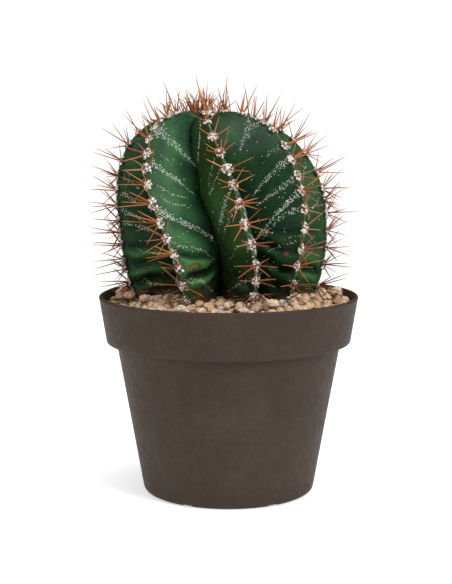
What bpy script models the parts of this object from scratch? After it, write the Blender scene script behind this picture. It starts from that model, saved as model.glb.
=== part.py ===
"""Potted ribbed cactus.

A round, eight-ribbed cactus in a turned plastic nursery pot, with potting
mix, a stone top dressing, one row of woolly areoles and spines along each
rib, a crown tuft and a few loose stones on top.  Metres, +Z up, origin at the
centre of the pot's underside, -Y is the front.
"""
import math
import random

import bmesh
import bpy
from mathutils import Matrix, Vector

# ----------------------------------------------------------------- dimensions
POT_H = 0.1528             # overall height of the pot
RIM_R = 0.1000             # outer radius at the lip
BAND_H = 0.0359            # height of the collar below the lip
BAND_LOW_R = 0.0944        # outer radius at the collar's lower edge
BODY_R = 0.0868            # outer radius of the body just under the collar
BASE_R = 0.0660            # outer radius at the foot
FOOT_ROUND = 0.0040        # rounding of the foot
WALL = 0.0030              # wall thickness
FLOOR = 0.0045             # floor thickness over the foot
DRAIN_R = 0.0055           # drainage hole radius
DRAIN_PCD = 0.0400         # radius of the ring of drainage holes
DRAIN_COUNT = 6
RECESS = 0.0018            # depth of the ring recess under the floor
RECESS_IN = 0.0200         # inner and outer radius of that recess
RECESS_OUT = 0.0540
NOTCH_W = 0.0090           # drainage notches through the foot ring
GAP = 0.0003               # clearance between pieces that touch

SOIL_TOP = 0.1350          # level of the potting mix under the stones
BED_WALL_Z = 0.1462        # top of the stone bed at the pot wall
BED_STEM_Z = 0.1530        # top of the stone bed at the stem
STONE_SIZE = 0.0042        # mean radius of a loose stone
STONE_COUNT = 24

STEM_R = 0.0798            # crest radius at the widest level
STEM_MID_Z = 0.2150        # level of the widest girth
STEM_UP = 0.0795           # height from there to the crown
STEM_DOWN = 0.1090         # depth from there to the buried base
STEM_POWER = 2.3           # fullness of the stem's outline
FURROW = 0.45              # furrow depth as a share of the crest radius
FLANK_BULGE = 0.0026       # convexity of a rib's flank
CREST_ROUND = 0.045        # share of a flank taken by the rounded crest
CROWN_DIP = 0.0035         # depth of the hollow at the crown
LEAN_0 = -0.0035           # sideways shift of the stem in the pot
LEAN_1 = -0.0085           # further lean from the middle to the top

STRIP_R = 0.0012           # woolly cord that runs along each crest
PAD_R = 0.0034             # areole pad
PAD_T = 0.0019
SPINE_BASE_R = 0.0008
SPINE_ROOM = 0.0022        # least distance between the middles of two spines
AREOLE_PITCH = 0.0133      # distance between areoles along a crest

# bearing of each rib's crest in degrees (0 at the front, + to the right) at
# the levels of CREST_LEVELS; the ribs wander and twist as they climb
CREST_LEVELS = (0.150, 0.180, 0.210, 0.240, 0.265, 0.285)
CREST_BEARING = (
    (-80, -79, -81, -83, -86, -100),
    (-23, -24.4, -33, -41, -46, -58),
    (17, 17.5, 12, 8.5, 4, -1),
    (43, 43.7, 49, 50.7, 54, 65),
    (78, 80, 84, 88, 90, 105),
    (128, 130, 133, 135, 138, 144),
    (179, 180, 181, 182, 182, 182),
    (229, 230, 230, 230, 228, 221),
)
# how far each furrow sits from midway between its two crests, degrees
FURROW_SHIFT = (0.0, -3.0, -7.0, -7.0, -3.0, 0.0)
# arc distance from the crown to each rib's first areole
FIRST_AREOLE = (0.022, 0.019, 0.0205, 0.018, 0.021, 0.019, 0.022, 0.019)

COLUMN_SHARE = (0.0, 0.10, 0.36, 0.68, 1.0)   # vertex columns across a flank
STEM_ROWS = 26


# -------------------------------------------------------------------- helpers
def smooth_row(levels, values, z):
    """Smooth curve through a short row of levels (Catmull-Rom, held flat)."""
    n = len(levels)
    if z <= levels[0]:
        return float(values[0])
    if z >= levels[-1]:
        slope = (values[-1] - values[-2]) / (levels[-1] - levels[-2])
        return values[-1] + slope * 0.35 * min(z - levels[-1], 0.008)
    i = max(k for k in range(n - 1) if levels[k] <= z)
    h = levels[i + 1] - levels[i]
    t = (z - levels[i]) / h

    def tangent(k):
        a, b = max(k - 1, 0), min(k + 1, n - 1)
        return (values[b] - values[a]) / (levels[b] - levels[a])

    m0, m1 = tangent(i) * h, tangent(i + 1) * h
    return ((2 * t**3 - 3 * t**2 + 1) * values[i] + (t**3 - 2 * t**2 + t) * m0
            + (-2 * t**3 + 3 * t**2) * values[i + 1] + (t**3 - t**2) * m1)


def lean(z):
    return LEAN_0 + LEAN_1 * max((z - 0.185) / 0.085, 0.0) ** 1.6


def crest_profile(tau):
    """Radius, level and outward normal of the crest; tau runs crown to base."""
    s, c = math.sin(tau), math.cos(tau)
    half = STEM_UP if c >= 0 else STEM_DOWN
    r = STEM_R * abs(s) ** (2 / STEM_POWER)
    dz = half * abs(c) ** (2 / STEM_POWER)
    nr = (r / STEM_R) ** (STEM_POWER - 1) / STEM_R
    nz = (dz / half) ** (STEM_POWER - 1) / half
    if c < 0:
        dz, nz = -dz, -nz
    length = math.hypot(nr, nz)
    return r, STEM_MID_Z + dz, nr / length, nz / length


def crest_bearing(rib, z):
    turn, k = divmod(rib, 8)
    return 360.0 * turn + smooth_row(CREST_LEVELS, CREST_BEARING[k], z)


def furrow_bearing(rib, z):
    """Bearing of the furrow between rib and rib + 1."""
    mid = 0.5 * (crest_bearing(rib, z) + crest_bearing(rib + 1, z))
    return mid + smooth_row(CREST_LEVELS, FURROW_SHIFT, z)


def place(r, bearing_deg, z):
    a = math.radians(bearing_deg)
    dip = CROWN_DIP * math.exp(-(r / 0.013) ** 2)
    return Vector((lean(z) + r * math.sin(a), -r * math.cos(a), z - dip))


def crest_point(rib, tau):
    r, z, _, _ = crest_profile(tau)
    return place(r, crest_bearing(rib, z), z)


def crest_frame(rib, tau):
    """Point, outward normal, downward tangent and sideways direction."""
    r, z, nr, nz = crest_profile(tau)
    a = math.radians(crest_bearing(rib, z))
    p = crest_point(rib, tau)
    t = (crest_point(rib, tau + 0.01) - crest_point(rib, tau - 0.01)).normalized()
    n = Vector((nr * math.sin(a), -nr * math.cos(a), nz))
    n = (n - t * n.dot(t)).normalized()
    return p, n, t, n.cross(t).normalized()


def furrow_point(rib, tau):
    r, z, nr, nz = crest_profile(tau)
    fade = min(max((z - 0.100) / 0.050, 0.0), 1.0)
    depth = FURROW * r * (0.25 + 0.75 * fade)
    bearing = furrow_bearing(rib, z)
    spread = crest_bearing(rib + 1, z) - crest_bearing(rib, z)
    depth *= min(1.0, 0.35 + 0.65 * spread / 42.0)
    return place(r - depth * nr, bearing, z - depth * nz)


def flank_point(rib, side, share, tau):
    """A point on the flank between a crest (share 0) and a furrow (share 1)."""
    top = crest_point(rib, tau)
    foot = furrow_point(rib if side > 0 else rib - 1, tau)
    r, z, nr, nz = crest_profile(tau)
    rounded = math.sqrt(share * share + CREST_ROUND**2) - CREST_ROUND
    rounded /= math.sqrt(1 + CREST_ROUND**2) - CREST_ROUND
    axis = Vector((lean(z), 0, z))
    out = top.lerp(foot, 0.5) - axis
    a = math.radians(crest_bearing(rib, z))
    sideways = Vector((math.cos(a), math.sin(a), 0)) * side
    bulge = FLANK_BULGE * (r / STEM_R) * math.sin(math.pi * share)
    # the crest is rounded: near it the flank leaves sideways before it falls
    p = top.lerp(foot, rounded)
    p += sideways * ((share - rounded) * (foot - top).dot(sideways))
    return p + (sideways * 0.8 + out.normalized() * 0.6) * bulge


def areole_taus(rib):
    """Positions of the areoles down one crest, closer together at the crown."""
    taus, travelled, tau = [], 0.0, 0.001
    target = FIRST_AREOLE[rib]
    last = crest_point(rib, tau)
    while tau < 2.6:
        tau += 0.002
        p = crest_point(rib, tau)
        travelled += (p - last).length
        last = p
        if travelled >= target:
            if p.z < 0.1640:
                break
            taus.append(tau)
            target += AREOLE_PITCH * min(0.80 + 0.05 * len(taus), 1.0)
    return taus


def material(name, rgb, roughness, metallic=0.0):
    mat = bpy.data.materials.new(name)
    mat.use_nodes = True
    bsdf = mat.node_tree.nodes["Principled BSDF"]
    bsdf.inputs["Base Color"].default_value = (*rgb, 1.0)
    bsdf.inputs["Roughness"].default_value = roughness
    bsdf.inputs["Metallic"].default_value = metallic
    mat.diffuse_color = (*rgb, 1.0)
    return mat


def object_from(bm, name, collection, mat=None, smooth=True):
    bmesh.ops.recalc_face_normals(bm, faces=bm.faces)
    mesh = bpy.data.meshes.new(name)
    bm.to_mesh(mesh)
    bm.free()
    obj = bpy.data.objects.new(name, mesh)
    collection.objects.link(obj)
    if mat:
        mesh.materials.append(mat)
    if smooth:
        mesh.shade_smooth()
        mesh.set_sharp_from_angle(angle=math.radians(40))
    return obj


def hide_guide(obj):
    obj.hide_render = True
    obj.display_type = "WIRE"


def turned(name, profile, collection, mat, steps):
    """A profile of (radius, level) turned round Z."""
    mesh = bpy.data.meshes.new(name)
    mesh.from_pydata([(r, 0.0, z) for r, z in profile],
                     [(i, i + 1) for i in range(len(profile) - 1)], [])
    mesh.materials.append(mat)
    obj = bpy.data.objects.new(name, mesh)
    collection.objects.link(obj)
    screw = obj.modifiers.new("turn", "SCREW")
    screw.steps = steps
    screw.render_steps = steps
    screw.use_merge_vertices = True
    screw.merge_threshold = 0.00005
    screw.use_smooth_shade = True
    return obj


def boolean(obj, cutter, operation, use_self=False):
    mod = obj.modifiers.new(operation.lower(), "BOOLEAN")
    mod.operation = operation
    mod.solver = "EXACT"
    mod.use_self = use_self
    mod.object = cutter
    return mod


def cylinder(name, radius, depth, centre, collection, segments=20):
    bm = bmesh.new()
    bmesh.ops.create_cone(bm, cap_ends=True, segments=segments, radius1=radius,
                          radius2=radius, depth=depth,
                          matrix=Matrix.Translation(centre))
    obj = object_from(bm, name, collection, smooth=False)
    hide_guide(obj)
    return obj


# ---------------------------------------------------------------------- scene
for old in list(bpy.data.objects):
    bpy.data.objects.remove(old, do_unlink=True)

plant = bpy.data.collections.new("potted_round_cactus")
guides = bpy.data.collections.new("cutters")
bpy.context.scene.collection.children.link(plant)
bpy.context.scene.collection.children.link(guides)

mat_pot = material("pot_plastic", (0.072, 0.052, 0.042), 0.55)
mat_soil = material("potting_mix", (0.030, 0.020, 0.013), 0.95)
mat_bed = material("stone_bed", (0.36, 0.22, 0.12), 0.90)
mat_stone = material("loose_stone", (0.50, 0.32, 0.19), 0.88)
mat_stem = material("stem_skin", (0.022, 0.085, 0.042), 0.48)
mat_spine = material("areoles_and_spines", (0.42, 0.17, 0.075), 0.60)
mat_crown = material("crown_tuft", (0.46, 0.20, 0.08), 0.60)

# ------------------------------------------------------------------------ pot
z_band = POT_H - BAND_H


def body_outer(z):
    return BASE_R + (BODY_R - BASE_R) * z / z_band


def band_outer(z):
    return BAND_LOW_R + (RIM_R - BAND_LOW_R) * (z - z_band) / BAND_H


inner_step_z = z_band + 0.0030
arc = [(BASE_R - FOOT_ROUND + FOOT_ROUND * math.sin(a) + (FOOT_ROUND * (1 - math.cos(a))) * 0.32,
        FOOT_ROUND * (1 - math.cos(a)))
       for a in (math.radians(d) for d in (82, 45, 0))]
pot_profile = [
    (RIM_R - 0.0015, POT_H), (RIM_R - 0.0004, POT_H - 0.0005), (RIM_R, POT_H - 0.0016),
    (BAND_LOW_R + 0.0002, z_band + 0.0008), (BAND_LOW_R - 0.0008, z_band),
    (BODY_R + 0.0004, z_band + 0.0002), (BODY_R - 0.0001, z_band - 0.0006),
] + arc + [
    (RECESS_OUT + 0.0008, 0.0), (RECESS_OUT, RECESS), (RECESS_IN, RECESS),
    (RECESS_IN - 0.0008, 0.0), (0.0, 0.0),
]
pot_profile += [(0.0, FLOOR), (BASE_R - WALL - 0.0040, FLOOR), (BASE_R - WALL, FLOOR + 0.0045)]
pot_profile += [
    (BODY_R - WALL, inner_step_z - 0.0010), (BODY_R - WALL + 0.0012, inner_step_z),
    (band_outer(inner_step_z) - WALL - 0.0008, inner_step_z + 0.0003),
    (band_outer(inner_step_z) - WALL, inner_step_z + 0.0014),
    (RIM_R - WALL, POT_H - 0.0016), (RIM_R - WALL + 0.0005, POT_H - 0.0004),
    (RIM_R - 0.0015, POT_H),
]
pot = turned("pot", pot_profile, plant, mat_pot, 48)

for k in range(DRAIN_COUNT):
    a = 2 * math.pi * (k + 0.5) / DRAIN_COUNT + 0.021
    hole = cylinder("drain_cut_%d" % (k + 1), DRAIN_R, 0.02,
                    (DRAIN_PCD * math.cos(a), DRAIN_PCD * math.sin(a), 0.0), guides, 12)
    boolean(pot, hole, "DIFFERENCE")
    a += math.pi / DRAIN_COUNT
    bm = bmesh.new()
    bmesh.ops.create_cube(bm, size=1.0, matrix=Matrix.Rotation(a, 4, "Z")
                          @ Matrix.Translation((0.0610, 0, -0.0043))
                          @ Matrix.Diagonal((0.0180, NOTCH_W, 0.0114, 1)))
    notch = object_from(bm, "notch_cut_%d" % (k + 1), guides, smooth=False)
    hide_guide(notch)
    boolean(pot, notch, "DIFFERENCE")

# ----------------------------------------------------------------------- stem
COLUMNS = []
for rib_index in range(8):
    for share in reversed(COLUMN_SHARE[1:-1]):
        COLUMNS.append((rib_index, -1, share))
    COLUMNS.append((rib_index, 1, 0.0))
    for share in COLUMN_SHARE[1:]:
        COLUMNS.append((rib_index, 1, share))


def stem_mesh(grow=0.0):
    """A sphere whose meridians follow the crests, flanks and furrows."""
    bm = bmesh.new()
    bmesh.ops.create_uvsphere(bm, u_segments=len(COLUMNS), v_segments=STEM_ROWS, radius=1.0)
    for v in bm.verts:
        tau = math.acos(max(-1.0, min(1.0, v.co.z)))
        if tau < 1e-4 or tau > math.pi - 1e-4:
            pole = 0.0 if tau < 1e-4 else math.pi
            r, z, _, _ = crest_profile(pole)
            v.co = place(0.0, 0.0, z)
            continue
        u = (math.atan2(v.co.y, v.co.x) / (2 * math.pi)) % 1.0
        rib_k, side, share = COLUMNS[int(round(u * len(COLUMNS))) % len(COLUMNS)]
        v.co = flank_point(rib_k, side, share, tau)
    bmesh.ops.triangulate(bm, faces=bm.faces)
    bmesh.ops.recalc_face_normals(bm, faces=bm.faces)
    if grow:
        bm.normal_update()
        moves = [(v, v.normal.copy()) for v in bm.verts]
        for v, n in moves:
            v.co += n * grow
    return bm


stem = object_from(stem_mesh(), "cactus_stem", plant, mat_stem)
stem_cutter = object_from(stem_mesh(0.00045), "stem_pocket_cut", guides, smooth=False)
hide_guide(stem_cutter)

# ------------------------------------------------------------ soil and stones
soil_profile = [
    (0.0, SOIL_TOP), (band_outer(SOIL_TOP) - WALL - GAP, SOIL_TOP),
    (band_outer(inner_step_z + 0.0016) - WALL - GAP, inner_step_z + 0.0016),
    (band_outer(inner_step_z) - WALL - 0.0012 - GAP, inner_step_z + 0.0007),
    (BODY_R - WALL - 0.0006, inner_step_z + 0.0004),
    (BODY_R - WALL - GAP - 0.0002, inner_step_z - 0.0014),
    (BASE_R - WALL - GAP - 0.0001, FLOOR + 0.0050),
    (BASE_R - WALL - 0.0045, FLOOR + GAP), (0.0, FLOOR + GAP),
]
soil = turned("potting_soil", soil_profile, plant, mat_soil, 48)
boolean(soil, stem_cutter, "DIFFERENCE")


def bed_top(r):
    """Level of the stone bed: it climbs from the wall to the stem."""
    t = min(max((0.0955 - r) / 0.030, 0.0), 1.0)
    return BED_WALL_Z + (BED_STEM_Z - BED_WALL_Z) * (3 * t * t - 2 * t**3)


bed_low = SOIL_TOP + GAP
bed_profile = [(0.0, bed_top(0.0))]
bed_profile += [(r, bed_top(r)) for r in (0.066, 0.074, 0.082, 0.090)]
bed_profile += [(band_outer(BED_WALL_Z) - WALL - GAP, BED_WALL_Z),
                (band_outer(bed_low) - WALL - GAP, bed_low), (0.0, bed_low)]
bed = turned("gravel_bed", bed_profile, plant, mat_bed, 48)
boolean(bed, stem_cutter, "DIFFERENCE")

# loose stones on the bed, kept clear of the stem and of each other
rng = random.Random(4127)
stone_places = []
ring = 0
while len(stone_places) < STONE_COUNT and ring < 4000:
    ring += 1
    bearing = rng.uniform(0, 360)
    r = rng.uniform(0.0775, 0.0890)
    size = STONE_SIZE * rng.uniform(0.78, 1.12)
    a = math.radians(bearing)
    centre = Vector((r * math.sin(a), -r * math.cos(a), 0))
    if all((centre - other).length > 0.0016 + 1.2 * (size + s) for other, s in stone_places):
        stone_places.append((centre, size))

stone_spots = []
for k, (centre, size) in enumerate(stone_places):
    bm = bmesh.new()
    bmesh.ops.create_uvsphere(bm, u_segments=8, v_segments=5, radius=1.0)
    stretch = Vector((rng.uniform(0.9, 1.2), rng.uniform(0.8, 1.05), rng.uniform(0.62, 0.85)))
    phase = [rng.uniform(0, 6.28) for _ in range(4)]
    for v in bm.verts:
        d = v.co.normalized()
        bump = (0.09 * math.sin(3.1 * d.x + phase[0]) + 0.08 * math.sin(3.7 * d.y + phase[1])
                + 0.07 * math.sin(4.3 * d.z + phase[2]) + 0.05 * math.sin(5.3 * (d.x + d.y) + phase[3]))
        v.co = Vector((d.x * stretch.x, d.y * stretch.y, d.z * stretch.z)) * size * (1 + bump)
    bmesh.ops.rotate(bm, verts=bm.verts, cent=(0, 0, 0),
                     matrix=Matrix.Rotation(rng.uniform(0, 6.28), 3, "Z"))
    low = min(v.co.z for v in bm.verts)
    reach = max(math.hypot(v.co.x, v.co.y) for v in bm.verts)
    highest = bed_top(max(math.hypot(centre.x, centre.y) - reach, 0.0))
    stone = object_from(bm, "loose_stone_%02d" % (k + 1), plant, mat_stone)
    stone.location = (centre.x, centre.y, highest + GAP - low)
    stone_spots.append((stone.location.copy(), size))

# ------------------------------------------------------- areoles with spines
# (tilt from the outward normal, turn around it, length) of each spine; turn 0
# points sideways, 90 down the rib, 180 to the other side and 270 up the rib
SPINE_FAN = (
    (12, 250, 0.0250), (52, 8, 0.0170), (52, 172, 0.0165),
    (44, 305, 0.0160), (46, 118, 0.0170),
)


def raise_spine(bm, face, tip):
    """Draw a slim point out of the middle of one face."""
    in_radius = 2 * face.calc_area() / sum(edge.calc_length() for edge in face.edges)
    inset = max(in_radius - SPINE_BASE_R * 0.8, 0.15 * in_radius)
    bmesh.ops.inset_individual(bm, faces=[face], thickness=inset)
    bmesh.ops.poke(bm, faces=[face])["verts"][0].co = tip


def bead_row(rib, taus, name):
    """The woolly line along a crest, swelling into an areole at each tau.

    A bevelled curve whose radius grows at every areole, made a mesh."""
    stations = []
    ends = (taus[0] - 0.045, taus[-1] + 0.045)
    stations.append((ends[0], STRIP_R))
    for k, tau in enumerate(taus):
        half = 0.0026 / crest_speed(rib, tau)
        stations += [(tau - half, STRIP_R), (tau, PAD_R), (tau + half, STRIP_R)]
    stations.append((ends[1], STRIP_R))
    curve = bpy.data.curves.new(name, "CURVE")
    curve.dimensions = "3D"
    curve.bevel_depth = 1.0
    curve.bevel_resolution = 1
    curve.use_fill_caps = True
    spline = curve.splines.new("POLY")
    spline.points.add(len(stations) - 1)
    for point, (tau, radius) in zip(spline.points, stations):
        p, n, _, _ = crest_frame(rib, tau)
        q = p + n * (radius + 0.0006)
        point.co = (q.x, q.y, q.z, 1.0)
        point.radius = radius
    holder = bpy.data.objects.new(name, curve)
    guides.objects.link(holder)
    bpy.context.view_layer.update()
    evaluated = holder.evaluated_get(bpy.context.evaluated_depsgraph_get())
    mesh = bpy.data.meshes.new_from_object(evaluated)
    bpy.data.objects.remove(holder, do_unlink=True)
    bm = bmesh.new()
    bm.from_mesh(mesh)
    bmesh.ops.remove_doubles(bm, verts=bm.verts, dist=0.00002)
    bmesh.ops.triangulate(bm, faces=bm.faces)
    bmesh.ops.recalc_face_normals(bm, faces=bm.faces)
    return bm


def segment_gap(a0, a1, b0, b1):
    """Shortest distance between two straight segments."""
    u, v, w = a1 - a0, b1 - b0, a0 - b0
    a, b, c, d, e = u.dot(u), u.dot(v), v.dot(v), u.dot(w), v.dot(w)
    det = a * c - b * b
    s = min(max((b * e - c * d) / det, 0.0), 1.0) if det > 1e-16 else 0.0
    t = min(max((b * s + e) / c, 0.0), 1.0)
    s = min(max((b * t - d) / a, 0.0), 1.0)
    return (a0 + u * s - b0 - v * t).length


def has_room(root, tip):
    """True where a new spine clears its neighbours, the stones and the pot."""
    if tip.z < bed_top(math.hypot(tip.x, tip.y)) + 0.003:
        return False
    if math.hypot(tip.x, tip.y) > 0.090 and tip.z < POT_H + 0.004:
        return False
    if any(segment_gap(root, tip, c, c + Vector((0, 0, 0.0001))) < size * 1.35 + 0.001
           for c, size in stone_spots):
        return False
    return all(segment_gap(root, tip, r, q) > SPINE_ROOM for r, q in spines_placed)


def crest_speed(rib, tau):
    """Distance along the crest for one unit of tau."""
    return (crest_point(rib, tau + 0.01) - crest_point(rib, tau - 0.01)).length / 0.02


RIB_NAMES = ("far_left", "left_front", "centre_front", "right_front",
             "far_right", "right_back", "centre_back", "left_back")

spines_placed = []
rng = random.Random(915)
for rib_index, rib_name in enumerate(RIB_NAMES):
    taus = areole_taus(rib_index)
    bm = bead_row(rib_index, taus, "bead_line")
    for tau in taus:
        p, n, t, b = crest_frame(rib_index, tau)
        centre = p + n * (PAD_R + 0.0006)
        near_crown = min(max(0.0, (p.z - 0.262) / 0.025), 1.0)
        outward = Vector((p.x - lean(p.z), p.y, 0.0)).normalized()
        free = [f for f in bm.faces if (f.calc_center_median() - centre).length < PAD_R * 1.05
                and f.normal.dot(n) > -0.1]
        for tilt_deg, turn_deg, length in SPINE_FAN if p.z < 0.2885 else SPINE_FAN[:3]:
            free = [f for f in free if f.is_valid]
            for attempt in range(24):
                wander = 4 + attempt
                tilt = math.radians(tilt_deg * (1 - 0.5 * near_crown) + rng.uniform(-wander, wander))
                turn = math.radians(turn_deg + rng.uniform(-2 * wander, 2 * wander))
                d = n * math.cos(tilt) + (b * math.cos(turn) + t * math.sin(turn)) * math.sin(tilt)
                d = (d + outward * 0.35 * near_crown).normalized()
                face = max(free, key=lambda f: f.normal.dot(d))
                root = face.calc_center_median()
                tip = root + d * length * rng.uniform(0.85, 1.12)
                if d.dot(n) > 0.45 and has_room(root, tip):
                    free.remove(face)
                    spines_placed.append((root, tip))
                    raise_spine(bm, face, tip)
                    break
    object_from(bm, "spine_row_" + rib_name, plant, mat_spine)

# the crown: a woolly cap in the hollow at the top with upright young spines
crown_r, crown_z, _, _ = crest_profile(0.0)
crown_centre = place(0.0, 0.0, crown_z) + Vector((0, 0, 0.0046))
bm = bmesh.new()
bmesh.ops.create_icosphere(bm, subdivisions=2, radius=1.0,
                           matrix=Matrix.Translation(crown_centre)
                           @ Matrix.Diagonal((0.0095, 0.0095, 0.0040, 1)))
bmesh.ops.recalc_face_normals(bm, faces=bm.faces)
free = [f for f in bm.faces if f.normal.z > 0.35]
for k in range(14):
    free = [f for f in free if f.is_valid]
    for attempt in range(24):
        a = k * 2.39996 + rng.uniform(-0.05, 0.05) * attempt
        lean_out = (0.10 + 0.55 * math.sqrt((k + 0.5) / 14)) * rng.uniform(0.9, 1.1)
        d = Vector((math.cos(a) * lean_out, math.sin(a) * lean_out, 1.0)).normalized()
        where = crown_centre + Vector((d.x * 0.011, d.y * 0.011, 0.0035))
        face = min(free, key=lambda f: (f.calc_center_median() - where).length)
        root = face.calc_center_median()
        tip = root + d * (0.0180 + 0.0040 * math.sin(k * 1.7))
        if has_room(root, tip):
            free.remove(face)
            spines_placed.append((root, tip))
            raise_spine(bm, face, tip)
            break
object_from(bm, "crown_spines", plant, mat_crown)
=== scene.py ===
"""The looks of the potted ribbed cactus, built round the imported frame."""
import math

import bpy
import numpy as np
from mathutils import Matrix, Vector


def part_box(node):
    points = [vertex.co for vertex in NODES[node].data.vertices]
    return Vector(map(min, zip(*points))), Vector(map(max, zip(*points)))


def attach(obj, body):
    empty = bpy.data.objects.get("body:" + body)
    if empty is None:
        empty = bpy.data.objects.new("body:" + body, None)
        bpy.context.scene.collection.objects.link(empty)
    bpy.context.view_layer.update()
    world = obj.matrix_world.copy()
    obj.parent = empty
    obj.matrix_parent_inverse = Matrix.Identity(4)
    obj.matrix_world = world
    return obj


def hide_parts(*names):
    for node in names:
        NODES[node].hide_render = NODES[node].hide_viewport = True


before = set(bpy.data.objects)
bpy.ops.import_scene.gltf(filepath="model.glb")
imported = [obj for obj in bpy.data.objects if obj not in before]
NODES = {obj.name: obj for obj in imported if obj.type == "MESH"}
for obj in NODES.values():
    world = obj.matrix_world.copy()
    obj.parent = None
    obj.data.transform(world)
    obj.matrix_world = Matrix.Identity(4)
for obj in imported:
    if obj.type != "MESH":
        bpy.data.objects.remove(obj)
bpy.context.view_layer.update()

# ------------------------------------------------------------------ dimensions
pot_lo, pot_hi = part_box("pot")
POT_H = pot_hi.z
RIM_R = pot_hi.x
BAND_H, BAND_LOW_R, BODY_R, BASE_R = 0.0359, 0.0944, 0.0868, 0.0660
FOOT_ROUND, WALL, FLOOR = 0.0040, 0.0030, 0.0045
STEM_R, STEM_MID_Z, STEM_UP, STEM_DOWN, STEM_POWER = 0.0798, 0.2150, 0.0795, 0.1090, 2.3
FURROW, FLANK_BULGE, CREST_ROUND, CROWN_DIP = 0.45, 0.0026, 0.045, 0.0035
LEAN_0, LEAN_1 = -0.0035, -0.0085
CREST_LEVELS = np.array((0.150, 0.180, 0.210, 0.240, 0.265, 0.285))
CREST_BEARING = np.array((
    (-80, -79, -81, -83, -86, -100), (-23, -24.4, -33, -41, -46, -58),
    (17, 17.5, 12, 8.5, 4, -1), (43, 43.7, 49, 50.7, 54, 65),
    (78, 80, 84, 88, 90, 105), (128, 130, 133, 135, 138, 144),
    (179, 180, 181, 182, 182, 182), (229, 230, 230, 230, 228, 221)), float)
FURROW_SHIFT = np.array(((0, -3, -7, -7, -3, 0), (-1, -1, 0, -3.5, 1.5, 2), (0, -4, -9, -15, -22, -30), (0, -3, -7, -7, -3, 0),
                         (0, -3, -7, -7, -3, 0), (0, -3, -6, -7, -5, 0), (0, -2, -5, -7, -3, 0), (0, -3, -7, -9, -6, 0)), float)
RIB_NAMES = ("far_left", "left_front", "centre_front", "right_front",
             "far_right", "right_back", "centre_back", "left_back")
FIRST_AREOLE = (0.022, 0.019, 0.0205, 0.018, 0.021, 0.019, 0.022, 0.019)
AREOLE_PITCH = 0.0133


# ---------------------------------------------------------------------- noise
def _hash(i, j, k, seed):
    h = (i.astype(np.int64) * 73856093) ^ (j.astype(np.int64) * 19349663) ^ (k.astype(np.int64) * 83492791) ^ (seed * 2654435761)
    h &= 0xFFFFFFFF
    h = ((h ^ (h >> 15)) * 2246822519) & 0xFFFFFFFF
    h = ((h ^ (h >> 13)) * 3266489917) & 0xFFFFFFFF
    h ^= h >> 16
    return h / 2147483647.5 - 1.0


def noise(P, seed=0):
    """Smooth value noise in -1..1 at the rows of P."""
    c = np.floor(P)
    f = P - c
    u = f * f * f * (f * (f * 6 - 15) + 10)
    i, j, k = c[:, 0], c[:, 1], c[:, 2]
    out = 0
    for a in (0, 1):
        wa = u[:, 0] if a else 1 - u[:, 0]
        for b in (0, 1):
            wb = u[:, 1] if b else 1 - u[:, 1]
            for d in (0, 1):
                wd = u[:, 2] if d else 1 - u[:, 2]
                out = out + wa * wb * wd * _hash(i + a, j + b, k + d, seed)
    return out


def fbm(P, octaves=3, seed=0):
    total, amp, norm = 0, 1.0, 0
    for o in range(octaves):
        total = total + amp * noise(P * 2.03 ** o + 7.1 * o, seed + o)
        norm += amp
        amp *= 0.5
    return total / norm


# ------------------------------------------------------------ stem's geometry
def hermite(levels, values, z):
    """Smooth curve through a short row of levels; values is (..., levels)."""
    n = len(levels)
    zc = np.clip(z, levels[0], levels[-1])
    i = np.clip(np.searchsorted(levels, zc, side="right") - 1, 0, n - 2)
    h = levels[i + 1] - levels[i]
    t = (zc - levels[i]) / h

    def take(k):
        return values[k] if values.ndim == 1 else values[np.arange(len(k)), k]

    def tangent(k):
        a, b = np.maximum(k - 1, 0), np.minimum(k + 1, n - 1)
        return (take(b) - take(a)) / (levels[b] - levels[a])

    m0, m1 = tangent(i) * h, tangent(i + 1) * h
    m0 = np.where(zc <= levels[0], 0, m0)
    v = ((2 * t**3 - 3 * t**2 + 1) * take(i) + (t**3 - 2 * t**2 + t) * m0
         + (-2 * t**3 + 3 * t**2) * take(i + 1) + (t**3 - t**2) * m1)
    last = np.full_like(i, n - 1)
    slope = (take(last) - take(last - 1)) / (levels[-1] - levels[-2])
    return v + slope * 0.35 * np.clip(z - levels[-1], 0, 0.008)


def lean(z):
    return LEAN_0 + LEAN_1 * np.maximum((z - 0.185) / 0.085, 0.0) ** 1.6


def crest_profile(tau):
    s, c = np.sin(tau), np.cos(tau)
    half = np.where(c >= 0, STEM_UP, STEM_DOWN)
    r = STEM_R * np.abs(s) ** (2 / STEM_POWER)
    dz = half * np.abs(c) ** (2 / STEM_POWER)
    nr = (r / STEM_R) ** (STEM_POWER - 1) / STEM_R
    nz = (dz / half) ** (STEM_POWER - 1) / half
    sign = np.where(c >= 0, 1.0, -1.0)
    length = np.hypot(nr, nz)
    return r, STEM_MID_Z + dz * sign, nr / length, nz * sign / length


def crest_bearing(rib, z):
    turn = np.floor_divide(rib, 8)
    return 360.0 * turn + hermite(CREST_LEVELS, CREST_BEARING[np.mod(rib, 8)], z)


def furrow_bearing(rib, z):
    # the one left of the centre rib curls away round the crown
    curl = 14.0 * (np.mod(rib, 8) == 1) * np.clip((z - 0.2865) / 0.0075, 0, 1.2) ** 1.3
    return 0.5 * (crest_bearing(rib, z) + crest_bearing(rib + 1, z)) + hermite(CREST_LEVELS, FURROW_SHIFT[np.mod(rib, 8)], z) - curl


def place(r, bearing, z):
    a = np.radians(bearing)
    dip = CROWN_DIP * np.exp(-(r / 0.013) ** 2)
    return np.stack([lean(z) + r * np.sin(a), -r * np.cos(a), z - dip], -1)


def crest_point(rib, tau):
    rib, tau = np.broadcast_arrays(np.atleast_1d(rib), np.atleast_1d(tau).astype(float))
    r, z, _, _ = crest_profile(tau)
    return place(r, crest_bearing(rib, z), z)


def unit(v):
    return v / np.maximum(np.linalg.norm(v, axis=-1, keepdims=True), 1e-12)


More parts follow.
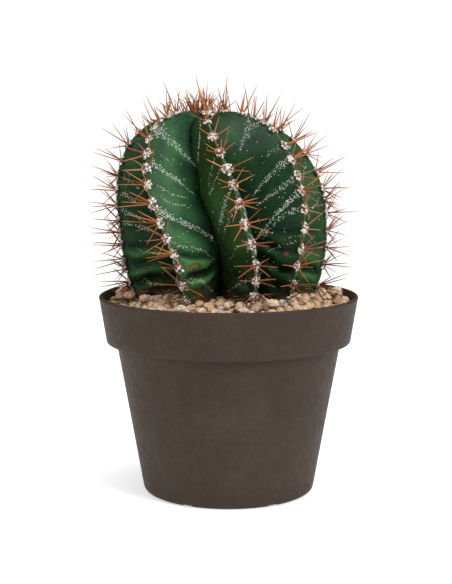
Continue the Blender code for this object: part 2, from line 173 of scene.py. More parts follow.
def crest_frame(rib, tau):
    """Points, outward normals, downward tangents and sideways directions."""
    rib, tau = np.broadcast_arrays(np.atleast_1d(rib), np.atleast_1d(tau).astype(float))
    r, z, nr, nz = crest_profile(tau)
    a = np.radians(crest_bearing(rib, z))
    p = crest_point(rib, tau)
    t = unit(crest_point(rib, tau + 0.01) - crest_point(rib, tau - 0.01))
    n = np.stack([nr * np.sin(a), -nr * np.cos(a), nz], -1)
    n = unit(n - t * (n * t).sum(-1, keepdims=True))
    return p, n, t, unit(np.cross(n, t))


def furrow_point(rib, tau):
    r, z, nr, nz = crest_profile(tau)
    fade = np.clip((z - 0.100) / 0.050, 0, 1)
    depth = FURROW * r * (0.25 + 0.75 * fade)
    spread = crest_bearing(rib + 1, z) - crest_bearing(rib, z)
    depth = depth * np.minimum(1.0, 0.35 + 0.65 * spread / 42.0)
    return place(r - depth * nr, furrow_bearing(rib, z), z - depth * nz)


def flank_point(rib, side, share, tau):
    top = crest_point(rib, tau)
    foot = furrow_point(np.where(side > 0, rib, rib - 1), tau)
    r, z, nr, nz = crest_profile(tau)
    rounded = (np.sqrt(share**2 + CREST_ROUND**2) - CREST_ROUND) / (math.sqrt(1 + CREST_ROUND**2) - CREST_ROUND)
    axis = np.stack([lean(z), 0 * z, z], -1)
    out = unit(0.5 * (top + foot) - axis)
    a = np.radians(crest_bearing(rib, z))
    sideways = np.stack([np.cos(a), np.sin(a), 0 * a], -1) * side[:, None]
    bulge = FLANK_BULGE * (r / STEM_R) * np.sin(math.pi * share)
    p = top + (foot - top) * rounded[:, None]
    p = p + sideways * ((share - rounded) * ((foot - top) * sideways).sum(-1))[:, None]
    return p + (sideways * 0.8 + out * 0.6) * bulge[:, None]


def tau_at(level):
    """The profile parameter of a level."""
    dz = level - STEM_MID_Z
    half = np.where(dz >= 0, STEM_UP, STEM_DOWN)
    c = np.sign(dz) * (np.clip(np.abs(dz) / half, 0, 1) ** (STEM_POWER / 2))
    return np.arccos(np.clip(c, -1, 1))


# growth was uneven, so the front ribs carry their areoles at these levels
AREOLE_LEVELS = {
    0: (0.2900, 0.2850, 0.2770, 0.2679, 0.2557, 0.2445, 0.2333, 0.2226, 0.2111, 0.2016, 0.1926, 0.1808, 0.1745, 0.1641, 0.1560),
    1: (0.2915, 0.2885, 0.2852, 0.2809, 0.2726, 0.2625, 0.2519, 0.2403, 0.2269, 0.2133, 0.2022, 0.1910, 0.1808, 0.1678, 0.1570),
    2: (0.2912, 0.2856, 0.2749, 0.2635, 0.2522, 0.2412, 0.2283, 0.2136, 0.1991, 0.1835, 0.1720, 0.1608, 0.1530),
    3: (0.2912, 0.2880, 0.2840, 0.2791, 0.2681, 0.2578, 0.2462, 0.2359, 0.2226, 0.2080, 0.1934, 0.1810, 0.1672, 0.1560, 0.2938),
    4: (0.2900, 0.2850, 0.2785, 0.2708, 0.2611, 0.2473, 0.2348, 0.2255, 0.2164, 0.2032, 0.1906, 0.1773, 0.1607)}


def areole_taus(rib):
    if rib in AREOLE_LEVELS:
        return [float(tau_at(np.array(z))) for z in AREOLE_LEVELS[rib]]
    taus = []
    target = FIRST_AREOLE[rib]
    grid = np.arange(0.001, 2.62, 0.002)
    pts = crest_point(rib, grid)
    run = np.concatenate([[0], np.cumsum(np.linalg.norm(np.diff(pts, axis=0), axis=1))])
    for g, s, p in zip(grid, run, pts):
        if s >= target:
            if p[2] < 0.1520:
                break
            taus.append(float(g))
            target += AREOLE_PITCH * min(0.80 + 0.05 * len(taus), 1.0)
    return taus


TAUS = [areole_taus(k) for k in range(8)]
AREOLE_Z = [crest_point(k, np.array(t))[:, 2] for k, t in enumerate(TAUS)]

# --------------------------------------------------------------- mesh helpers
COLL = bpy.data.collections.new("looks")
bpy.context.scene.collection.children.link(COLL)


def new_mesh(name, verts, faces, attrs=None, mats=(), smooth=True, mat_index=None):
    """verts (N,3), faces a list of index arrays (M,3) or (M,4), point attributes."""
    mesh = bpy.data.meshes.new(name)
    blocks = [np.asarray(f, np.int64) for f in (faces if isinstance(faces, list) else [faces])]
    loops = np.concatenate([b.ravel() for b in blocks])
    sizes = np.concatenate([np.full(len(b), b.shape[1]) for b in blocks])
    starts = np.concatenate([[0], np.cumsum(sizes)[:-1]])
    mesh.vertices.add(len(verts))
    mesh.vertices.foreach_set("co", np.asarray(verts, np.float32).ravel())
    mesh.loops.add(len(loops))
    mesh.loops.foreach_set("vertex_index", loops.astype(np.int32))
    mesh.polygons.add(len(sizes))
    mesh.polygons.foreach_set("loop_start", starts.astype(np.int32))
    mesh.update(calc_edges=True)
    mesh.polygons.foreach_set("use_smooth", np.full(len(sizes), bool(smooth)))
    if mat_index is not None:
        mesh.polygons.foreach_set("material_index", np.asarray(mat_index, np.int32))
    for key, values in (attrs or {}).items():
        values = np.asarray(values, np.float32)
        if values.ndim == 1:
            a = mesh.attributes.new(key, "FLOAT", "POINT")
            a.data.foreach_set("value", values)
        else:
            a = mesh.attributes.new(key, "FLOAT_VECTOR", "POINT")
            a.data.foreach_set("vector", values.ravel())
    for m in mats:
        mesh.materials.append(m)
    mesh.validate()
    obj = bpy.data.objects.new(name, mesh)
    COLL.objects.link(obj)
    return obj


def ico(subdivisions):
    import bmesh
    bm = bmesh.new()
    bmesh.ops.create_icosphere(bm, subdivisions=subdivisions, radius=1.0)
    v = np.array([x.co[:] for x in bm.verts])
    f = np.array([[w.index for w in x.verts] for x in bm.faces])
    bm.free()
    return v, f


ICO = {n: ico(n) for n in (1, 2, 3, 4)}


class Heap:
    """Collects many small closed shapes into one mesh with per-point attributes."""

    def __init__(self):
        self.v, self.f3, self.f4, self.a, self.n = [], [], [], {}, 0

    def add(self, v, *faces, **attrs):
        for f in faces:
            (self.f3 if f.shape[1] == 3 else self.f4).append(f + self.n)
        self.v.append(v)
        for k, x in attrs.items():
            self.a.setdefault(k, []).append(np.broadcast_to(np.asarray(x, float), (len(v),)))
        self.n += len(v)

    def build(self, name, mats):
        faces = []
        if self.f3:
            faces.append(np.concatenate(self.f3))
        if self.f4:
            faces.append(np.concatenate(self.f4))
        return new_mesh(name, np.concatenate(self.v), faces,
                        {k: np.concatenate(x) for k, x in self.a.items()}, mats)


TUBE_FACES = {}


def tube(points, radii, sides=6):
    """A closed tapered tube along a few points: vertices, quads and end triangles."""
    points, radii = np.asarray(points, float), np.asarray(radii, float)
    n = len(points)
    d = unit(np.gradient(points, axis=0))
    side = np.cross(d[0], [0.31, 0.52, 0.79])
    side = side / np.linalg.norm(side)
    ang = np.arange(sides) * 2 * math.pi / sides
    cos, sin = np.cos(ang)[:, None], np.sin(ang)[:, None]
    rings = []
    for k in range(n):
        side = side - d[k] * side.dot(d[k])
        side /= np.linalg.norm(side)
        rings.append(points[k] + radii[k] * (cos * side + sin * np.cross(d[k], side)))
    v = np.concatenate(rings + [points[:1], points[-1:]])
    if (n, sides) not in TUBE_FACES:
        i, j = np.meshgrid(np.arange(n - 1), np.arange(sides), indexing="ij")
        jn = (j + 1) % sides
        quads = np.stack([i * sides + j, i * sides + jn, (i + 1) * sides + jn, (i + 1) * sides + j], -1).reshape(-1, 4)
        j = np.arange(sides)
        jn = (j + 1) % sides
        tris = np.concatenate([np.stack([jn, j, np.full(sides, n * sides)], -1),
                               np.stack([(n - 1) * sides + j, (n - 1) * sides + jn, np.full(sides, n * sides + 1)], -1)])
        TUBE_FACES[(n, sides)] = quads, tris
    return (v,) + TUBE_FACES[(n, sides)]


def spin(rng):
    """A random rotation matrix."""
    q = rng.normal(size=4)
    w, x, y, z = q / np.linalg.norm(q)
    return np.array([[1 - 2 * (y * y + z * z), 2 * (x * y - z * w), 2 * (x * z + y * w)],
                     [2 * (x * y + z * w), 1 - 2 * (x * x + z * z), 2 * (y * z - x * w)],
                     [2 * (x * z - y * w), 2 * (y * z + x * w), 1 - 2 * (x * x + y * y)]])


def lumps(level, count, strength, scale, seed):
    """A set of lumpy closed blobs of about unit radius."""
    v, f = ICO[level]
    return [v * (1 + strength * fbm(v * scale + 17.3 * (i + seed), 2, seed))[:, None] for i in range(count)], f


# ------------------------------------------------------------------ materials
def srgb(r, g, b):
    return tuple(((c / 255 + 0.055) / 1.055) ** 2.4 if c > 10 else c / 255 / 12.92 for c in (r, g, b)) + (1.0,)


class Shade:
    """Short names for building one node material."""

    def __init__(self, name, roughness=0.5, **sockets):
        self.mat = bpy.data.materials.new(name)
        self.mat.use_nodes = True
        self.nt = self.mat.node_tree
        self.bsdf = self.nt.nodes["Principled BSDF"]
        self.bsdf.inputs["Roughness"].default_value = roughness
        for key, value in sockets.items():
            self.bsdf.inputs[key.replace("_", " ")].default_value = value
        self.pos = self.node("ShaderNodeTexCoord").outputs["Object"]

    def node(self, kind, **props):
        n = self.nt.nodes.new(kind)
        for k, v in props.items():
            setattr(n, k, v)
        return n

    def put(self, socket, value):
        if isinstance(value, bpy.types.NodeSocket):
            self.nt.links.new(value, socket)
        else:
            socket.default_value = value

    def attr(self, name):
        return self.node("ShaderNodeAttribute", attribute_name=name).outputs["Fac"]

    def noise(self, scale, detail=3, rough=0.55, vector=None, distortion=0.0):
        n = self.node("ShaderNodeTexNoise")
        self.put(n.inputs["Vector"], vector or self.pos)
        n.inputs["Scale"].default_value = scale
        n.inputs["Detail"].default_value = detail
        n.inputs["Roughness"].default_value = rough
        n.inputs["Distortion"].default_value = distortion
        return n.outputs["Fac"]

    def voronoi(self, scale, feature="F1", vector=None, out="Distance"):
        n = self.node("ShaderNodeTexVoronoi", feature=feature)
        self.put(n.inputs["Vector"], vector or self.pos)
        n.inputs["Scale"].default_value = scale
        return n.outputs[out]

    def ramp(self, fac, *stops, interp="EASE"):
        n = self.node("ShaderNodeValToRGB")
        n.color_ramp.interpolation = interp
        el = n.color_ramp.elements
        while len(el) < len(stops):
            el.new(0.5)
        for e, (p, c) in zip(el, stops):
            e.position = p
            e.color = c if not np.isscalar(c) else (c, c, c, 1)
        self.put(n.inputs["Fac"], fac)
        return n.outputs["Color"]

    def span(self, value, a, b, c=0.0, d=1.0):
        n = self.node("ShaderNodeMapRange", clamp=True)
        self.put(n.inputs["Value"], value)
        for key, x in zip(("From Min", "From Max", "To Min", "To Max"), (a, b, c, d)):
            n.inputs[key].default_value = x
        return n.outputs["Result"]

    def math(self, op, a, b=0.0):
        n = self.node("ShaderNodeMath", operation=op)
        self.put(n.inputs[0], a)
        self.put(n.inputs[1], b)
        return n.outputs[0]

    def mix(self, fac, a, b, blend="MIX"):
        n = self.node("ShaderNodeMix", data_type="RGBA", blend_type=blend)
        self.put(n.inputs[0], fac)
        self.put(n.inputs[6], a)
        self.put(n.inputs[7], b)
        return n.outputs[2]

    def colour(self, value):
        self.put(self.bsdf.inputs["Base Color"], value)

    def rough(self, value):
        self.put(self.bsdf.inputs["Roughness"], value)

    def bump(self, *layers):
        """Stacked bumps of (height, strength, distance in metres)."""
        last = None
        for height, strength, distance in layers:
            n = self.node("ShaderNodeBump")
            n.inputs["Strength"].default_value = strength
            n.inputs["Distance"].default_value = distance
            self.put(n.inputs["Height"], height)
            if last:
                self.put(n.inputs["Normal"], last)
            last = n.outputs["Normal"]
        self.put(self.bsdf.inputs["Normal"], last)


def pot_material():
    s = Shade("pot_plastic", 0.55, Specular_IOR_Level=0.08)
    s.bsdf.inputs["Specular Tint"].default_value = (1.0, 0.84, 0.74, 1.0)
    cloud = s.noise(22, 5, 0.6, distortion=0.6)
    fine = s.noise(190, 4, 0.65)
    grain = s.noise(900, 2, 0.6)
    c = s.ramp(cloud, (0.30, srgb(59, 50, 44)), (0.52, srgb(65, 55, 48)), (0.72, srgb(71, 61, 53)))
    c = s.mix(s.span(fine, 0.35, 0.68, 0.0, 0.55), c, srgb(56, 48, 43))
    c = s.mix(s.span(grain, 0.56, 0.72, 0.0, 0.35), c, srgb(86, 76, 69))
    s.colour(c)
    s.rough(s.span(fine, 0.3, 0.7, 0.46, 0.62))
    s.bump((fine, 0.25, 0.0005), (grain, 0.25, 0.0002))
    return s.mat


def soil_material():
    s = Shade("potting_mix", 0.95)
    crumbs = s.voronoi(420)
    tone = s.noise(120, 5, 0.7)
    c = s.ramp(tone, (0.3, srgb(28, 20, 14)), (0.55, srgb(52, 38, 27)), (0.75, srgb(84, 64, 46)))
    c = s.mix(s.span(crumbs, 0.25, 0.75, 0.0, 0.7), c, srgb(18, 13, 10))
    s.colour(c)
    s.bump((crumbs, 0.9, 0.0016), (tone, 0.6, 0.001))
    return s.mat


def stone_material():
    s = Shade("pumice_stones", 0.9)
    tint, shade = s.attr("tint"), s.attr("shade")
    base = s.ramp(tint, (0.0, srgb(206, 156, 112)), (0.3, srgb(232, 190, 148)), (0.65, srgb(242, 206, 168)),
                  (0.90, srgb(248, 222, 192)), (1.0, srgb(250, 240, 228)))
    patch = s.noise(240, 4, 0.65)
    pores = s.voronoi(900)
    fine = s.noise(1400, 3, 0.7)
    c = s.mix(s.span(patch, 0.48, 0.68, 0.0, 0.46), base, srgb(194, 146, 104))
    c = s.mix(s.span(fine, 0.45, 0.75, 0.0, 0.55), c, srgb(246, 230, 210))
    c = s.mix(s.span(pores, 0.05, 0.30, 0.70, 0.0), c, srgb(104, 72, 50))
    grain = s.noise(560, 3, 0.6)
    c = s.mix(s.span(grain, 0.34, 0.46, 0.58, 0.0), c, srgb(150, 106, 72))
    c = s.mix(s.span(grain, 0.56, 0.68, 0.0, 0.65), c, srgb(255, 236, 208))
    pits = s.voronoi(330)
    c = s.mix(s.span(pits, 0.08, 0.28, 0.56, 0.0), c, srgb(116, 80, 54))
    # painted shade: the undersides of the stones and the stones lying deeper are darkened
    c = s.mix(s.span(shade, 0.0, 1.0, 0.0, 0.86), c, srgb(64, 44, 32))
    s.colour(c)
    s.bump((patch, 0.8, 0.0020), (grain, 0.9, 0.0014), (pits, 1.0, 0.0018), (pores, 0.8, 0.0008), (fine, 0.6, 0.0004))
    return s.mat


# rib, side, share, level, radius, rim, colour, ring or patch
MARKS = ((1, 1, 0.33, 0.1800, 0.0046, 0.0012, srgb(92, 48, 26), True), (1, 1, 0.37, 0.1600, 0.0044, 0.0010, srgb(88, 56, 42), False),
         (1, 1, 0.64, 0.1625, 0.0040, 0.0012, srgb(84, 90, 84), False), (0, 1, 0.47, 0.1722, 0.0020, 0.0008, srgb(76, 42, 28), False),
         (2, -1, 0.32, 0.2215, 0.0026, 0.0008, srgb(68, 70, 42), False), (0, 1, 0.62, 0.1620, 0.0024, 0.0008, srgb(70, 36, 22), False),
         (3, -1, 0.30, 0.1895, 0.0016, 0.0008, srgb(86, 48, 30), False), (6, -1, 0.40, 0.1850, 0.0040, 0.0008, srgb(84, 48, 30), True))


def skin_material():
    s = Shade("stem_skin", 0.36, Specular_IOR_Level=0.08)
    share, fold_light_and_shade, olive, band = s.attr("share"), s.attr("fold_light_and_shade"), s.attr("olive"), s.attr("band")
    scar, corky, painted_highlight, painted_flank_shade = s.attr("scar"), s.attr("corky"), s.attr("painted_highlight"), s.attr("painted_flank_shade")
    cloud = s.noise(38, 4, 0.55, distortion=0.8)
    mid = s.noise(130, 4, 0.6)
    fine = s.noise(620, 3, 0.6)
    c = s.ramp(cloud, (0.30, srgb(15, 42, 29)), (0.50, srgb(24, 57, 37)), (0.72, srgb(38, 78, 45)))
    c = s.mix(s.span(mid, 0.40, 0.72, 0.0, 0.40), c, srgb(44, 84, 52))
    # paler green towards the crest; painted highlight on the swellings and painted shade in the creases and furrows
    c = s.mix(s.span(share, 0.02, 0.30, 0.45, 0.0), c, srgb(56, 88, 46))
    c = s.mix(s.span(fold_light_and_shade, 0.52, 0.95, 0.0, 0.80), c, srgb(66, 112, 54))
    c = s.mix(s.span(fold_light_and_shade, 0.0, 0.45, 0.75, 0.0), c, srgb(8, 22, 12))
    # painted shade down into the furrows
    c = s.mix(s.span(share, 0.72, 1.0, 0.0, 0.75), c, srgb(6, 22, 12))
    c = s.mix(olive, c, srgb(34, 50, 12))
    # painted highlight on the swellings
    c = s.mix(s.math("MULTIPLY", painted_highlight, s.span(cloud, 0.25, 0.60, 0.45, 0.80)), c, srgb(66, 118, 66))
    # painted shade on flanks turned from the lamps and low down between the ribs
    c = s.mix(s.math("MULTIPLY", painted_flank_shade, 0.76), c, srgb(4, 20, 10))
    c = s.mix(s.span(fine, 0.50, 0.80, 0.0, 0.22), c, srgb(84, 112, 84))
    # fine pale dust in the bands where the white flecks sit
    dust = s.math("MULTIPLY", band, s.span(s.noise(900, 2, 0.7), 0.50, 0.62, 0.0, 1.0))
    c = s.mix(s.math("MULTIPLY", dust, 0.22), c, srgb(140, 154, 138))
    c = s.mix(s.math("MULTIPLY", corky, s.span(mid, 0.25, 0.7, 0.45, 0.9)), c, srgb(112, 116, 62))
    c = s.mix(scar, c, srgb(88, 56, 42))
    # healed marks with a crisp outline, low on the left-front rib
    for rib, side, share_at, level, radius, rim, colour, ring in MARKS:
        centre = flank_point(np.array([rib]), np.array([side]), np.array([share_at]), np.array([float(tau_at(np.array(level)))]))[0]
        gap = s.node("ShaderNodeVectorMath", operation="DISTANCE")
        flat = s.node("ShaderNodeVectorMath", operation="MULTIPLY")
        s.put(flat.inputs[0], s.pos)
        flat.inputs[1].default_value = (1.0, 1.0, 1.55)
        s.put(gap.inputs[0], flat.outputs["Vector"])
        gap.inputs[1].default_value = (float(centre[0]), float(centre[1]), float(centre[2]) * 1.55)
        away = s.math("ADD", gap.outputs["Value"], s.span(s.noise(420, 3, 0.6), 0.3, 0.7, -0.0006, 0.0006))
        if ring:
            off = s.math("ABSOLUTE", s.math("SUBTRACT", away, radius))
            c = s.mix(s.span(away, radius * 0.6, radius, 0.45, 0.0), c, srgb(72, 92, 44))
            c = s.mix(s.span(off, rim * 0.4, rim, 0.95, 0.0), c, colour)
        else:
            c = s.mix(s.span(away, radius - rim, radius, 0.9, 0.0), c, colour)
    s.colour(c)
    s.rough(s.math("ADD", s.span(mid, 0.3, 0.7, 0.30, 0.44), s.math("MULTIPLY", scar, 0.3)))
    s.bump((mid, 0.35, 0.0010), (fine, 0.30, 0.0004))
    return s.mat


def wool_material():
    s = Shade("areole_wool", 0.95)
    tone = s.attr("tone")
    fine = s.noise(2200, 3, 0.75)
    mid = s.noise(600, 3, 0.6)
    c = s.ramp(tone, (0.0, srgb(34, 20, 13)), (0.22, srgb(96, 62, 46)), (0.5, srgb(208, 190, 178)), (0.8, srgb(246, 240, 234)),
               (1.0, srgb(148, 154, 92)))
    c = s.mix(s.span(mid, 0.54, 0.78, 0.0, 0.55), c, srgb(128, 84, 62))
    c = s.mix(s.span(fine, 0.5, 0.8, 0.0, 0.55), c, srgb(248, 242, 236))
    s.colour(c)
    s.bump((fine, 0.9, 0.0004), (mid, 0.5, 0.0006))
    return s.mat


def spine_material():
    s = Shade("spine", 0.46, Specular_IOR_Level=0.20)
    along, tone = s.attr("along"), s.attr("tone")
    grain = s.noise(700, 3, 0.6)
    body = s.ramp(tone, (0.0, srgb(84, 42, 26)), (0.35, srgb(138, 74, 38)), (0.65, srgb(178, 108, 56)), (0.85, srgb(186, 132, 82)),
                  (1.0, srgb(110, 62, 48)))
    c = s.mix(s.span(along, 0.55, 1.0, 0.0, 0.50), body, srgb(204, 144, 84))
    c = s.mix(s.span(along, 0.0, 0.20, 0.70, 0.0), c, srgb(70, 28, 16))
    c = s.mix(s.span(grain, 0.50, 0.75, 0.0, 0.40), c, srgb(206, 132, 60))
    s.colour(c)
    s.rough(s.span(grain, 0.3, 0.7, 0.36, 0.58))
    s.bump((grain, 0.4, 0.0002))
    return s.mat


def fleck_material():
    s = Shade("white_flecks", 0.9)
    tone = s.attr("tone")
    fine = s.noise(3000, 2, 0.7)
    c = s.ramp(tone, (0.0, srgb(104, 126, 106)), (0.4, srgb(178, 190, 176)), (1.0, srgb(246, 246, 240)))
    c = s.mix(s.span(fine, 0.4, 0.7, 0.0, 0.4), c, srgb(255, 255, 252))
    s.colour(c)
    s.bump((fine, 0.5, 0.0002))
    return s.mat


def debris_material():
    s = Shade("dry_debris", 0.85)
    tone = s.attr("tone")
    grain = s.noise(500, 3, 0.65)
    c = s.ramp(tone, (0.0, srgb(58, 38, 26)), (0.5, srgb(112, 74, 48)), (1.0, srgb(166, 122, 82)))
    c = s.mix(s.span(grain, 0.4, 0.7, 0.0, 0.5), c, srgb(74, 50, 36))
    s.colour(c)
    s.bump((grain, 0.6, 0.0004))
    return s.mat


MAT = {"pot": pot_material(), "soil": soil_material(), "stone": stone_material(), "skin": skin_material(),
       "wool": wool_material(), "spine": spine_material(), "fleck": fleck_material(), "debris": debris_material()}


def finish_piece(obj, slot, *nodes):
    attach(obj, "root")
    if nodes:
        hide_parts(*nodes)
    return obj


# ------------------------------------------------------------------------ pot
def arc_points(cx, cz, r, a0, a1, n):
    a = np.radians(np.linspace(a0, a1, n))
    return [(cx + r * math.cos(x), cz + r * math.sin(x)) for x in a]


def lathe(name, profile, segments, mats, wobble=0.0):
    """A closed turned surface; the profile starts and ends on the axis or closes on itself."""
    pts = np.array(profile, float)
    closed = pts[0, 0] > 1e-6 and np.allclose(pts[0], pts[-1])
    if closed:
        pts = pts[:-1]
    ring_ids, verts, count = [], [], 0
    ang = np.arange(segments) * 2 * math.pi / segments
    for r, z in pts:
        if r > 1e-6:
            rr = r * (1 + wobble * np.sin(2 * ang + 0.7) * (z / POT_H))
            verts.append(np.stack([rr * np.sin(ang), -rr * np.cos(ang), np.full(segments, z)], -1))
            ring_ids.append((count, True))
            count += segments
        else:
            verts.append(np.array([[0.0, 0.0, z]]))
            ring_ids.append((count, False))
            count += 1
    if closed:
        ring_ids.append(ring_ids[0])
    quads, tris = [], []
    j = np.arange(segments)
    jn = (j + 1) % segments
    for (a, ka), (b, kb) in zip(ring_ids[:-1], ring_ids[1:]):
        if ka and kb:
            quads.append(np.stack([a + j, b + j, b + jn, a + jn], -1))
        elif ka:
            tris.append(np.stack([a + j, np.full(segments, b), a + jn], -1))
        elif kb:
            tris.append(np.stack([np.full(segments, a), b + j, b + jn], -1))
    faces = ([np.concatenate(quads)] if quads else []) + ([np.concatenate(tris)] if tris else [])
    return new_mesh(name, np.concatenate(verts), faces, mats=mats)


Z_BAND = POT_H - BAND_H
INNER_STEP = Z_BAND + 0.0030


def body_outer(z):
    return BASE_R + (BODY_R - BASE_R) * z / Z_BAND


def band_outer(z):
    return BAND_LOW_R + (RIM_R - BAND_LOW_R) * (z - Z_BAND) / BAND_H


def spread_line(a, b, n):
    return [(a[0] + (b[0] - a[0]) * t, a[1] + (b[1] - a[1]) * t) for t in np.linspace(0, 1, n)]


lip_c = (RIM_R - 0.00155, POT_H - 0.0015)
outer = arc_points(lip_c[0], lip_c[1], 0.0015, 172, -4, 13)
outer += spread_line((band_outer(POT_H - 0.003), POT_H - 0.003), (BAND_LOW_R + 0.0001, Z_BAND + 0.0012), 9)
outer += arc_points(BAND_LOW_R - 0.0010, Z_BAND + 0.0010, 0.0010, -6, -84, 6)
outer += [(BODY_R + 0.0014, Z_BAND + 0.0001)] + arc_points(BODY_R + 0.0012, Z_BAND - 0.0010, 0.0011, 96, 176, 5)
outer += spread_line((body_outer(Z_BAND - 0.004), Z_BAND - 0.004), (body_outer(0.0062), 0.0062), 14)
outer += arc_points(BASE_R - FOOT_ROUND + 0.0006, FOOT_ROUND, FOOT_ROUND, -2, -88, 9)
outer += [(0.0552, 0.0), (0.0546, 0.0002), (0.0540, 0.0018), (0.0200, 0.0018), (0.0194, 0.0002), (0.0188, 0.0), (0.0, 0.0)]
inner = [(0.0, FLOOR), (BASE_R - WALL - 0.0040, FLOOR), (BASE_R - WALL, FLOOR + 0.0045)]
inner += spread_line((BODY_R - WALL - 0.0004, INNER_STEP - 0.0030), (BODY_R - WALL, INNER_STEP - 0.0010), 3)
inner += [(BODY_R - WALL + 0.0012, INNER_STEP), (band_outer(INNER_STEP) - WALL - 0.0008, INNER_STEP + 0.0003),
          (band_outer(INNER_STEP) - WALL, INNER_STEP + 0.0014)]
inner += spread_line((band_outer(INNER_STEP + 0.004) - WALL, INNER_STEP + 0.004), (RIM_R - WALL - 0.0002, POT_H - 0.0022), 8)
profile = outer + inner + [outer[0]]
pot = lathe("pot_shell", profile, 256, (MAT["pot"],))


def drill(obj, centres, radius):
    """Round drainage holes through the floor and notches through the foot ring."""
    import bmesh
    bm = bmesh.new()
    for k, (x, y) in enumerate(centres):
        from mathutils import Matrix
        bmesh.ops.create_cone(bm, cap_ends=True, segments=32, radius1=radius, radius2=radius, depth=0.02,
                              matrix=Matrix.Translation((x, y, 0.0)))
        a = 2 * math.pi * (k + 1) / len(centres) + 0.021
        bmesh.ops.create_cube(bm, size=1.0, matrix=Matrix.Rotation(a, 4, "Z") @ Matrix.Translation((0.0610, 0, -0.0043))
                              @ Matrix.Diagonal((0.0180, 0.0090, 0.0114, 1)))
    mesh = bpy.data.meshes.new("cutter")
    bm.to_mesh(mesh)
    bm.free()
    cutter = bpy.data.objects.new("cutter", mesh)
    COLL.objects.link(cutter)
    mod = obj.modifiers.new("holes", "BOOLEAN")
    mod.operation, mod.solver, mod.object = "DIFFERENCE", "EXACT", cutter
    bpy.context.view_layer.update()
    done = bpy.data.meshes.new_from_object(obj.evaluated_get(bpy.context.evaluated_depsgraph_get()))
    obj.modifiers.clear()
    old = obj.data
    obj.data = done
    bpy.data.meshes.remove(old)
    bpy.data.objects.remove(cutter)


drill(pot, [(0.040 * math.cos(2 * math.pi * (k + 0.5) / 6 + 0.021), 0.040 * math.sin(2 * math.pi * (k + 0.5) / 6 + 0.021))
            for k in range(6)], 0.0055)
finish_piece(pot, "pot_plastic", "pot")

soil_node = NODES["potting_soil"]
soil_node.data.materials.clear()
soil_node.data.materials.append(MAT["soil"])

# ----------------------------------------------------------------------- skin
SIDE_COLUMNS = 20
share_row = (np.arange(SIDE_COLUMNS + 1) / SIDE_COLUMNS) ** 1.25
TAU_ROWS = np.concatenate([[0.012, 0.03, 0.055], np.linspace(0.085, 2.62, 300), [2.68, 2.76, 2.86, 2.98]])
col_rib, col_side, col_share = [], [], []
for k in range(8):
    for s in share_row[:0:-1][1:]:
        col_rib.append(k); col_side.append(-1); col_share.append(s)
    col_rib.append(k); col_side.append(1); col_share.append(0.0)
    for s in share_row[1:]:
        col_rib.append(k); col_side.append(1); col_share.append(s)
col_rib, col_side, col_share = map(np.array, (col_rib, col_side, col_share))
NC, NR = len(col_rib), len(TAU_ROWS)

# creases across the lower flanks: (rib, side, level at the crest, rise to the
# furrow, depth, half width, start share, end share)
CREASES = [
    (3, -1, 0.1905, 0.0060, 0.0030, 0.0030, 0.10, 0.95),
    (3, -1, 0.1745, 0.0085, 0.0044, 0.0032, 0.05, 1.00),
    (3, -1, 0.1600, 0.0060, 0.0040, 0.0034, 0.05, 1.00),
    (3, -1, 0.2070, 0.0020, 0.0012, 0.0040, 0.10, 0.80),
    (1, 1, 0.1925, -0.0130, 0.0040, 0.0026, 0.03, 0.75),
    (1, 1, 0.1712, 0.0030, 0.0046, 0.0028, 0.10, 0.98),
    (1, 1, 0.1600, -0.0010, 0.0030, 0.0026, 0.25, 1.00),
    (0, 1, 0.1930, -0.0040, 0.0026, 0.0034, 0.05, 0.95),
    (0, 1, 0.1790, -0.0060, 0.0040, 0.0036, 0.15, 1.00),
    (0, 1, 0.1640, -0.0030, 0.0036, 0.0030, 0.10, 1.00),
    (4, -1, 0.1880, 0.0040, 0.0024, 0.0032, 0.05, 0.90),
    (4, -1, 0.1700, 0.0040, 0.0034, 0.0032, 0.05, 1.00),
    (2, -1, 0.1830, 0.0020, 0.0014, 0.0040, 0.10, 0.80),
    (2, -1, 0.1660, 0.0040, 0.0026, 0.0034, 0.10, 0.90),
]
rng = np.random.default_rng(77)
fixed = {(c[0], c[1]) for c in CREASES}
for k in range(8):
    for side in (-1, 1):
        if (k, side) in fixed:
            continue
        level = 0.1600 + rng.uniform(-0.002, 0.003)
        while level < 0.204:
            low = np.clip((0.206 - level) / 0.045, 0.15, 1)
            CREASES.append((k, side, level, rng.uniform(-0.006, 0.009), 0.0042 * low * rng.uniform(0.7, 1.1),
                            rng.uniform(0.0027, 0.0038), rng.uniform(0.03, 0.2), rng.uniform(0.8, 1.0)))
            level += rng.uniform(0.0105, 0.0155)

# scars: (rib, side, level, share, half height, half width in share, ring or patch)
SCARS = [(1, 1, 0.1550, 0.38, 0.0034, 0.06, "patch"),
         (2, -1, 0.2210, 0.30, 0.0048, 0.035, "patch"), (0, 1, 0.1720, 0.45, 0.0012, 0.06, "patch"),
         (0, 1, 0.1655, 0.28, 0.0014, 0.05, "patch"), (3, -1, 0.1890, 0.30, 0.0015, 0.06, "patch"),
         (3, -1, 0.2050, 0.62, 0.0030, 0.012, "patch"), (5, 1, 0.2250, 0.50, 0.0030, 0.05, "patch"),
         (6, -1, 0.1850, 0.40, 0.0028, 0.10, "ring"), (7, 1, 0.2000, 0.35, 0.0020, 0.04, "patch"),
         (1, 1, 0.1590, 0.85, 0.0012, 0.03, "patch"), (5, -1, 0.1700, 0.50, 0.0035, 0.08, "patch")]
